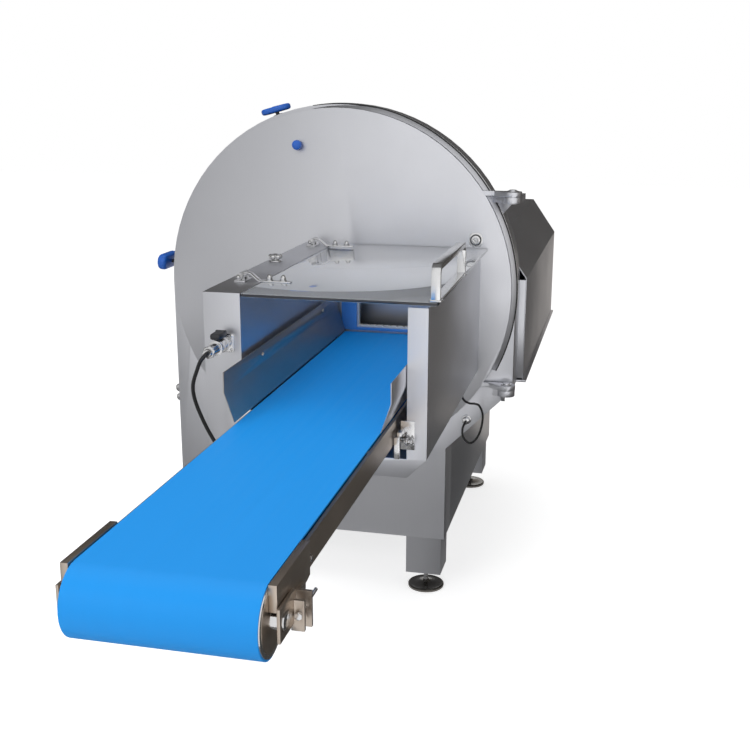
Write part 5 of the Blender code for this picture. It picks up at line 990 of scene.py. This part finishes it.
class SLICER_OT_latches(Operator):
    """Makes the blue handles of the door's two latches."""

    bl_idname = "slicer.latches"
    bl_label = "Latches"

    def execute(self, context):
        sizes = context.scene.slicer_fittings
        length, width, thickness = sizes.latch_length, sizes.latch_width, sizes.latch_thickness
        self.latch("latch_top", sizes.latch_top_reach, (length, width, thickness), TOP_LATCH_TILT)
        left = (width, length * LEFT_LATCH_LENGTH_SHARE, thickness * LEFT_LATCH_THICKNESS_SHARE)
        self.latch("latch_left", sizes.latch_left_reach, left, 0)
        return {"FINISHED"}

    def latch(self, name, reach, size, tilt):
        joint = JOINTS[name + "_turn"]
        axis = Vector(joint["axis"])
        root = Vector((0, on_machine(joint["pos_m"]).y, 0))
        middle = root + axis * reach
        low = root + axis * STEM_FOOT
        turn = Matrix(((axis.z, 0, axis.x), (0, 1, 0), (-axis.x, 0, axis.z))).to_4x4()
        turn = turn @ Matrix.Rotation(tilt, 4, "Y")
        half = size[2] / 2

        def build(bm):
            matrix = Matrix.Translation(at(*middle)) @ turn
            outline = rounded(*size[:2], min(size[:2]) * HANDLE_CORNER_SHARE, steps=8)
            prism(bm, outline, -half, half, matrix, half * HANDLE_EDGE_SHARE, segments=4)
            boss = [(radius, half + height) for radius, height in mm(HANDLE_BOSS_OUTLINE)]
            turn_profile(bm, boss, matrix, ROUND_SIDES)

        def build_stem(bm):
            rod_along(bm, low, middle, STEM_RADIUS)
            washer(bm, root + axis * STEM_COLLAR, axis, *COLLAR)
            cam = CAM[::-1] if size[1] > size[0] else CAM
            matrix = Matrix.Translation(at(*low)) @ turn
            prism(bm, rounded(*cam, CAM_CORNER), -CAM_HALF, CAM_HALF, matrix, FINE_EDGE)

        fit_piece(name + "_handle", build, "blue", name, replaced=name)
        fit_piece(name + "_stem", build_stem, "black", name)


class SLICER_OT_bumper(Operator):
    """Makes the lid's bumper on the door."""

    bl_idname = "slicer.bumper"
    bl_label = "Bumper"

    def execute(self, context):
        radius = context.scene.slicer_fittings.bumper_radius
        matrix = placed((BUMPER.x, BUMPER_STAND, BUMPER.z), FRONT)
        profile = [(radius * share, height * MM) for share, height in BUMPER_SHARES]

        def build(bm):
            turn_profile(bm, profile, matrix, ROUND_SIDES)

        fit_piece("lid_bumper", build, "blue", "door", replaced="lid_stop")
        return {"FINISHED"}


class SLICER_OT_feet(Operator):
    """Makes the four levelling feet, each a dished plate on a threaded stud."""

    bl_idname = "slicer.feet"
    bl_label = "Feet"

    def execute(self, context):
        radius = context.scene.slicer_fittings.foot_radius
        for place in ("front_left", "front_right", "rear_left", "rear_right"):
            self.foot(place, radius)
        return {"FINISHED"}

    def foot(self, place, radius):
        body = "foot_" + place
        low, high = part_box(body)
        x, y = (low[0] + high[0]) / 2, (low[1] + high[1]) / 2

        def build(bm):
            profile = [(radius + step, height) for step, height in mm(FOOT_RIM_STEPS)]
            profile += [(radius * share, height * MM) for share, height in FOOT_DISH_SHARES]
            turn_profile(bm, [(0, 0)] + profile, Matrix.Translation((x, y, low[2])), ROUND_SIDES)

        def build_stud(bm):
            matrix = Matrix.Translation((x, y, low[2] + STUD[0]))
            threaded_rod(bm, matrix, STUD[1] - STUD[0], STUD_RADIUS, STUD_PITCH)

        # The plates take the steel painted near black, a painted shade
        fit_piece("plate_" + place, build, "dark", body, replaced=body)
        fit_piece("stud_" + place, build_stud, "polished", body)


class SLICER_OT_lid_fittings(Operator):
    """Makes the lid's hinge straps, pin ends, acorn nuts and handle pads."""

    bl_idname = "slicer.lid_fittings"
    bl_label = "Lid fittings"

    def execute(self, context):
        acorn = context.scene.slicer_fittings.acorn_radius
        for name in ("front", "rear"):
            self.strap(name, acorn)
        self.handle_pads()
        return {"FINISHED"}

    def strap(self, name, acorn):
        node = "hinge_strap_" + name
        y = middle_of(node).y
        pivot = Vector((LID_HINGE.x, y, LID_HINGE.z))
        top = LID_TOP + STRAP_LIFT
        bends = (
            (LID_HINGE.x, STRAP_KNUCKLE_TOP), (-0.036, STRAP_KNUCKLE_TOP), (-0.029, 0.1440),
            (-0.018, 0.1345), (-0.010, top), (0.004, top), (0.066, top),
        )

        def build(bm):
            line = [(x, y, z) for x, z in bends]
            ribbon(bm, line, STRAP_WIDTH, STRAP_THICKNESS, -FRONT, FINE_EDGE)
            turn_profile(bm, mm(PIN_OUTLINE), placed(pivot, FRONT))
            for x in STRAP_NUTS:
                seat = (x, y, top + STRAP_WASHER_LIFT)
                washer(bm, seat, UP, acorn * STRAP_WASHER_SHARE, STRAP_WASHER_THICKNESS)
                dome_nut(bm, (x, y, top + STRAP_NUT_LIFT), UP, acorn, ACORN_HEIGHT)

        def build_pins(bm):
            for way in (FRONT, -FRONT):
                dome_nut(bm, pivot + way * PIN_NUT_REACH, way, *PIN_NUT)

        fit_piece("lid_strap_" + name, build, "polished", "lid_group", replaced=node)
        fit_piece("lid_pin_nuts_" + name, build_pins, "polished", "door")

    def handle_pads(self):
        low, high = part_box("lid_handle")
        x = (low[0] + high[0]) / 2
        z = low[2] + HANDLE_PAD_LIFT

        def build(bm):
            for y in (low[1] + HANDLE_PAD_INSET, high[1] - HANDLE_PAD_INSET):
                outline = rounded(*HANDLE_PAD, HANDLE_PAD_CORNER)
                matrix = Matrix.Translation((x, y, z))
                prism(bm, outline, -HANDLE_PAD_HALF, HANDLE_PAD_HALF, matrix, SHEET_EDGE)

        fit_piece("lid_handle_pads", build, "polished", "lid_group")


class SLICER_OT_knob(Operator):
    """Makes the lobed clamping knob over its round flange."""

    bl_idname = "slicer.knob"
    bl_label = "Clamping knob"

    def execute(self, context):
        matrix = placed(KNOB, UP)

        def build(bm):
            turn_profile(bm, mm(KNOB_FLANGE_OUTLINE), matrix, ROUND_SIDES)
            for x, y in ring_of(KNOB_LOBES, KNOB_LOBE_RADIUS):
                turn = Matrix.Rotation(math.atan2(y, x), 4, "Z")
                lobe = matrix @ Matrix.Translation((x, y, 0)) @ turn
                turn_profile(bm, mm(KNOB_LOBE_OUTLINE), lobe)
            turn_profile(bm, mm(KNOB_HUB_OUTLINE), matrix)

        fit_piece("clamping_knob", build, "polished", "strip_knob", replaced="strip_knob")
        return {"FINISHED"}


class SLICER_OT_sensor(Operator):
    """Makes the door sensor: a round head on a small plate, its bright face in a dark ring."""

    bl_idname = "slicer.sensor"
    bl_label = "Door sensor"

    def execute(self, context):
        matrix = placed(SENSOR, FRONT)
        inner = SENSOR_RADIUS * SENSOR_FACE_SHARE

        def build_plate(bm):
            outline = rounded(*SENSOR_PLATE, SENSOR_PLATE_CORNER)
            lowered = placed(SENSOR - UP * SENSOR_PLATE_DROP, FRONT)
            prism(bm, outline, *SENSOR_PLATE_FACES, lowered, FINE_EDGE)

        def build_ring(bm):
            wall = [(0, SENSOR_FOOT), (SENSOR_RADIUS, SENSOR_FOOT)]
            wall.append((SENSOR_RADIUS, SENSOR_HEIGHT - SENSOR_LIP))
            top = [(SENSOR_RADIUS - SENSOR_LIP, SENSOR_HEIGHT), (0, SENSOR_HEIGHT)]
            turn_profile(bm, wall + top, matrix, ROUND_SIDES)

        def build_face(bm):
            profile = [(inner * a, SENSOR_HEIGHT + b * MM) for a, b in SENSOR_FACE_SHARES]
            turn_profile(bm, profile, matrix, ROUND_SIDES)

        fit_piece(
            "sensor_plate", build_plate, "polished", "door", "lock_sensor"
        )
        fit_piece("sensor_rings", build_ring, "black", "door")
        fit_piece("sensor_faces", build_face, "polished", "door")
        return {"FINISHED"}


class SLICER_OT_plug_rings(Operator):
    """Makes the screws of the socket's flange, and the plug's knurled and six-sided rings."""

    bl_idname = "slicer.plug_rings"
    bl_label = "Plug rings"

    def execute(self, context):
        x, z = SOCKET.x, SOCKET.z

        def build(bm):
            for side_x in (-SOCKET_SCREW_REACH, SOCKET_SCREW_REACH):
                for side_z in (-SOCKET_SCREW_REACH, SOCKET_SCREW_REACH):
                    place = (x + side_x, SOCKET_FACE, z + side_z)
                    turn_profile(bm, mm(SCREW_OUTLINE), placed(place, FRONT))
            knurls = []
            for index, (a, b) in enumerate(ring_of(KNURLS, 1)):
                radius = KNURL_RADII[index % 2]
                knurls.append((radius * a, radius * b))
            prism(bm, knurls, 0, KNURL_WIDTH, placed((x, KNURL_FRONT, z), FRONT))
            hex_nut(bm, (x, BACK_NUT_FRONT, z), FRONT, *BACK_NUT, BACK_NUT_TURN)
            sleeve = placed((x, BACK_SLEEVE_FRONT, z), FRONT)
            turn_profile(bm, mm(SLEEVE_OUTLINE), sleeve)

        fit_piece("plug_rings", build, "polished", "door")
        return {"FINISHED"}


class SLICER_OT_fasteners(Operator):
    """Makes the hinge's washers and pin ends, the rails' bolts and the housing's side catch."""

    bl_idname = "slicer.fasteners"
    bl_label = "Fasteners"

    def execute(self, context):
        fit_piece("hinge_pin_nuts", self.hinge_nuts, "polished", "base")
        fit_piece("rail_bolts", self.rail_bolts, "polished", "door")
        fit_piece("side_catch", self.side_catch, "polished", "base")
        return {"FINISHED"}

    def hinge_nuts(self, bm):
        x, y = DOOR_HINGE.x, DOOR_HINGE.y
        for z in HINGE_NUTS:
            washer(bm, (x, y, z), UP, *HINGE_WASHER)
            turn_profile(bm, mm(PIN_END_OUTLINE), placed((x, y, z - PIN_END_DROP), UP))

    def rail_bolts(self, bm):
        """Bolt of the bed on each rail, behind the nose plate."""
        for side in (RIGHT, -RIGHT):
            place = Vector((DRUM.x, *RAIL_BOLT)) + side * RAIL_FACE
            washer(bm, place, side, *RAIL_WASHER)
            hex_nut(bm, place + side * RAIL_WASHER[1], side, *RAIL_NUT)

    def side_catch(self, bm):
        """Small two-lobed catch on the left of the housing's rim."""
        for z, radius in CATCH_LOBES:
            profile = [(radius * share, height * MM) for share, height in CATCH_SHARES]
            turn_profile(bm, profile, placed((*CATCH, z), FRONT), ROUND_SIDES)


class SLICER_OT_drum_ends(Operator):
    """Makes the pressed end plate on each side of the front drum."""

    bl_idname = "slicer.drum_ends"
    bl_label = "Drum ends"

    def execute(self, context):
        def build(bm):
            for side in (-RIGHT, RIGHT):
                matrix = placed(DRUM + side * DRUM_END, side)
                turn_profile(bm, mm(DRUM_END_OUTLINE), matrix, ROUND_SIDES)

        fit_piece("drum_end_plates", build, "mill", "front_roller")
        return {"FINISHED"}


class SLICER_OT_rim(Operator):
    """Makes the door's sloped rim, its seal and the bright bead round the housing."""

    bl_idname = "slicer.rim"
    bl_label = "Rim rings"

    def execute(self, context):
        for name, (profile, finish, body) in RIM_RINGS.items():
            fit_piece(name, lambda bm: arc_band(bm, mm(profile)), finish, body)
        return {"FINISHED"}


class SLICER_OT_hood_lip(Operator):
    """Makes the sheet across the open front of the hood, beside the housing."""

    bl_idname = "slicer.hood_lip"
    bl_label = "Hood front sheet"

    def execute(self, context):
        x, y, z = HOOD_LIP_CORNER
        middle = at(x - HOOD_LIP[0] / 2, y, z - HOOD_LIP[2] / 2)

        def build(bm):
            box(bm, HOOD_LIP, Matrix.Translation(middle), SHEET_EDGE)

        fit_piece("hood_front_lip", build, "ground", "infeed_hood")
        return {"FINISHED"}


class SLICER_OT_clamps(Operator):
    """Makes the bent bracket, rod and round nuts that hold each rail to the guard."""

    bl_idname = "slicer.clamps"
    bl_label = "Conveyor clamps"

    def execute(self, context):
        for name, way in (("right", 1), ("left", -1)):
            bracket, node = "clamp_bracket_" + name, "clamp_" + name
            fit_piece(bracket, lambda bm: self.clamp(bm, way), "polished", "door", replaced=node)
        return {"FINISHED"}

    def clamp(self, bm, way):
        side = RIGHT * way
        for low, high in CLAMP_PLATES:
            x, y, z = ((a + b) / 2 for a, b in zip(low, high))
            size = [b - a for a, b in zip(low, high)]
            box(bm, size, Matrix.Translation(at(DRUM.x + way * x, y, z)), CLAMP_EDGE)
        rod = Vector((DRUM.x, *CLAMP_ROD))
        start, end = (rod + side * x for x in CLAMP_ROD_ENDS)
        rod_along(bm, start, end, CLAMP_ROD_RADIUS)
        for x in CLAMP_NUTS:
            washer(bm, rod + side * x, side, *CLAMP_NUT)


# Cards that only metal sees, glowing to paint its reflections: pale in front, dark above, behind and
# to the right. Each has its corner, its two sides, where its shade starts and ends along x, the two
# tones and the tint.
CARD_FOOT = -0.93
GREY, WARM = (1, 1, 1, 1), (1, 0.94, 0.88, 1)
CARDS = {
    "front_card": ((-6, -2.3, CARD_FOOT), (6.5, 0, 0), (0, 0, 5), (4.6, 6.0), (0.58, 1.0), GREY),
    "back_card": ((0.25, 1.5, CARD_FOOT), (6, 0, 0), (0, 0, 0.9), (0.4, 0.7), (0.5, 0.09), WARM),
    "high_card": ((-6, 1.5, -0.03), (12, 0, 0), (0, 0, 5.6), (6.8, 9), (0.07, 0.12), WARM),
    "floor_card": ((-2.5, -2.2, -0.932), (6.5, 0, 0), (0, 3.7, 0), (2.7, 3), (0.27, 0.06), GREY),
    "over_card": ((-4, -1.5, 2.6), (8, 0, 0), (0, 5.5, 0), (0, 8), (0.22, 0.16), GREY),
    "side_card": ((4, -2, CARD_FOOT), (0, 3.5, 0), (0, 0, 4), (0, 1), (0.25, 0.25), WARM),
    "left_card": ((-3.5, -2.2, CARD_FOOT), (0, 3.7, 0), (0, 0, 4), (0, 1), (0.12, 0.12), GREY),
}


class SLICER_OT_stage(Operator):
    """Sets the floor, the lamps and the even light round the machine."""

    bl_idname = "slicer.stage"
    bl_label = "Stage"

    def execute(self, context):
        stage = context.scene.slicer_stage
        self.floor(stage)
        self.world(context.scene, stage)
        self.lamp("front_lamp", at(-1.6, -4.4, 1.5), (2.6, 2.2), stage.key_power)
        self.lamp("top_lamp", at(-0.2, -0.4, 3.4), (3.5, 3.5), stage.top_power)
        for name, card in CARDS.items():
            self.card(name, *card)
        context.scene.view_settings.view_transform = "Standard"
        return {"FINISHED"}

    def seen(self, tree):
        """One for camera, glossy and transmission rays, and nothing for the light itself."""
        return either(tree, "Is Camera Ray", "Is Glossy Ray", "Is Transmission Ray")

    def sheet(self, name, corners, material):
        """A single flat face of the stage."""

        def build(bm):
            bm.faces.new([bm.verts.new(point) for point in corners])

        piece = new_piece(name, build, material)
        return piece

    def floor(self, stage):
        half = stage.floor_half
        material, tree, shader = new_material(
            "pale_floor", (0.8, 0.8, 0.8), metallic=0.0, roughness=0.9
        )
        shader.inputs["Specular IOR Level"].default_value = 0.0
        shown = {0: self.seen(tree), 1: stage.floor_glow}
        strength = add_node(tree, "ShaderNodeMath", {"operation": "MULTIPLY"}, shown).outputs[0]
        white = {"Color": (1, 1, 1, 1), "Strength": strength}
        glow = add_node(tree, "ShaderNodeEmission", None, white)
        both = {0: shader.outputs[0], 1: glow.outputs[0]}
        surface(material, add_node(tree, "ShaderNodeAddShader", None, both))
        corners = [(-half, -half, 0), (half, -half, 0), (half, half, 0), (-half, half, 0)]
        self.sheet("floor", corners, material)

    def world(self, scene, stage):
        world = bpy.data.worlds.new("studio")
        world.use_nodes = True
        scene.world = world
        tree = world.node_tree
        background = tree.nodes["Background"]
        background.inputs["Color"].default_value = (1, 1, 1, 1)
        strength = add_node(
            tree,
            "ShaderNodeMapRange",
            None,
            {"Value": self.seen(tree), "To Min": stage.world_strength, "To Max": 1.0},
        )
        tree.links.new(strength.outputs[0], background.inputs["Strength"])

    def card(self, name, corner, across, up, along, tones, tint):
        """A flat glowing card seen in reflections alone, a painted reflection shaded from one tone to
        another along x.
        """
        material = bpy.data.materials.new(name + "_shade")
        material.use_nodes = True
        tree = material.node_tree
        tree.nodes.remove(tree.nodes["Principled BSDF"])
        place = add_node(tree, "ShaderNodeTexCoord").outputs["Object"]
        split = add_node(tree, "ShaderNodeSeparateXYZ", None, {0: place})
        limits = {"From Min": along[0], "From Max": along[1], "To Min": tones[0], "To Max": tones[1]}
        shade = add_node(tree, "ShaderNodeMapRange", None, {"Value": split.outputs[0], **limits})
        light = {"Color": tint, "Strength": shade.outputs[0]}
        surface(material, add_node(tree, "ShaderNodeEmission", None, light))
        first, last = Vector(across), Vector(up)
        card = self.sheet(name, [Vector(), first, first + last, last], material)
        card.location = at(*corner)
        card.visible_camera = False
        card.visible_diffuse = False
        card.visible_transmission = False
        card.visible_shadow = False

    def lamp(self, name, place, size, power):
        """A rectangular lamp that looks at the blade's axis."""
        data = bpy.data.lights.new(name, "AREA")
        data.shape = "RECTANGLE"
        data.size, data.size_y = size
        data.energy = power
        lamp = bpy.data.objects.new(name, data)
        bpy.context.scene.collection.objects.link(lamp)
        lamp.matrix_world = pointing(place, place - BLADE_AXIS)
        lamp.visible_glossy = False


class SLICER_PT_panel(Panel):
    """Lists the machine's operators in the sidebar."""

    bl_label = "Meat Slicer"
    bl_idname = "SLICER_PT_panel"
    bl_space_type = "VIEW_3D"
    bl_region_type = "UI"
    bl_category = "Meat Slicer"

    def draw(self, context):
        for operator in OPERATORS:
            self.layout.operator(operator.bl_idname)


OPERATORS = (
    SLICER_OT_camera,
    SLICER_OT_finishes,
    SLICER_OT_cables,
    SLICER_OT_latches,
    SLICER_OT_bumper,
    SLICER_OT_feet,
    SLICER_OT_lid_fittings,
    SLICER_OT_knob,
    SLICER_OT_sensor,
    SLICER_OT_plug_rings,
    SLICER_OT_fasteners,
    SLICER_OT_drum_ends,
    SLICER_OT_rim,
    SLICER_OT_hood_lip,
    SLICER_OT_clamps,
    SLICER_OT_stage,
)
SETTINGS = {
    "slicer_finish": SlicerFinishSettings,
    "slicer_cables": SlicerCableSettings,
    "slicer_fittings": SlicerFittingSettings,
    "slicer_stage": SlicerStageSettings,
}


def register():
    for group in SETTINGS.values():
        bpy.utils.register_class(group)
    for name, group in SETTINGS.items():
        setattr(bpy.types.Scene, name, PointerProperty(type=group))
    for made in (*OPERATORS, SLICER_PT_panel):
        bpy.utils.register_class(made)


def unregister():
    for made in (*OPERATORS, SLICER_PT_panel):
        bpy.utils.unregister_class(made)
    for name in SETTINGS:
        delattr(bpy.types.Scene, name)
    for group in SETTINGS.values():
        bpy.utils.unregister_class(group)


def main():
    register()
    for operator in OPERATORS:
        section, name = operator.bl_idname.split(".")
        getattr(getattr(bpy.ops, section), name)()
    bpy.context.view_layer.update()


if __name__ == "__main__":
    main()
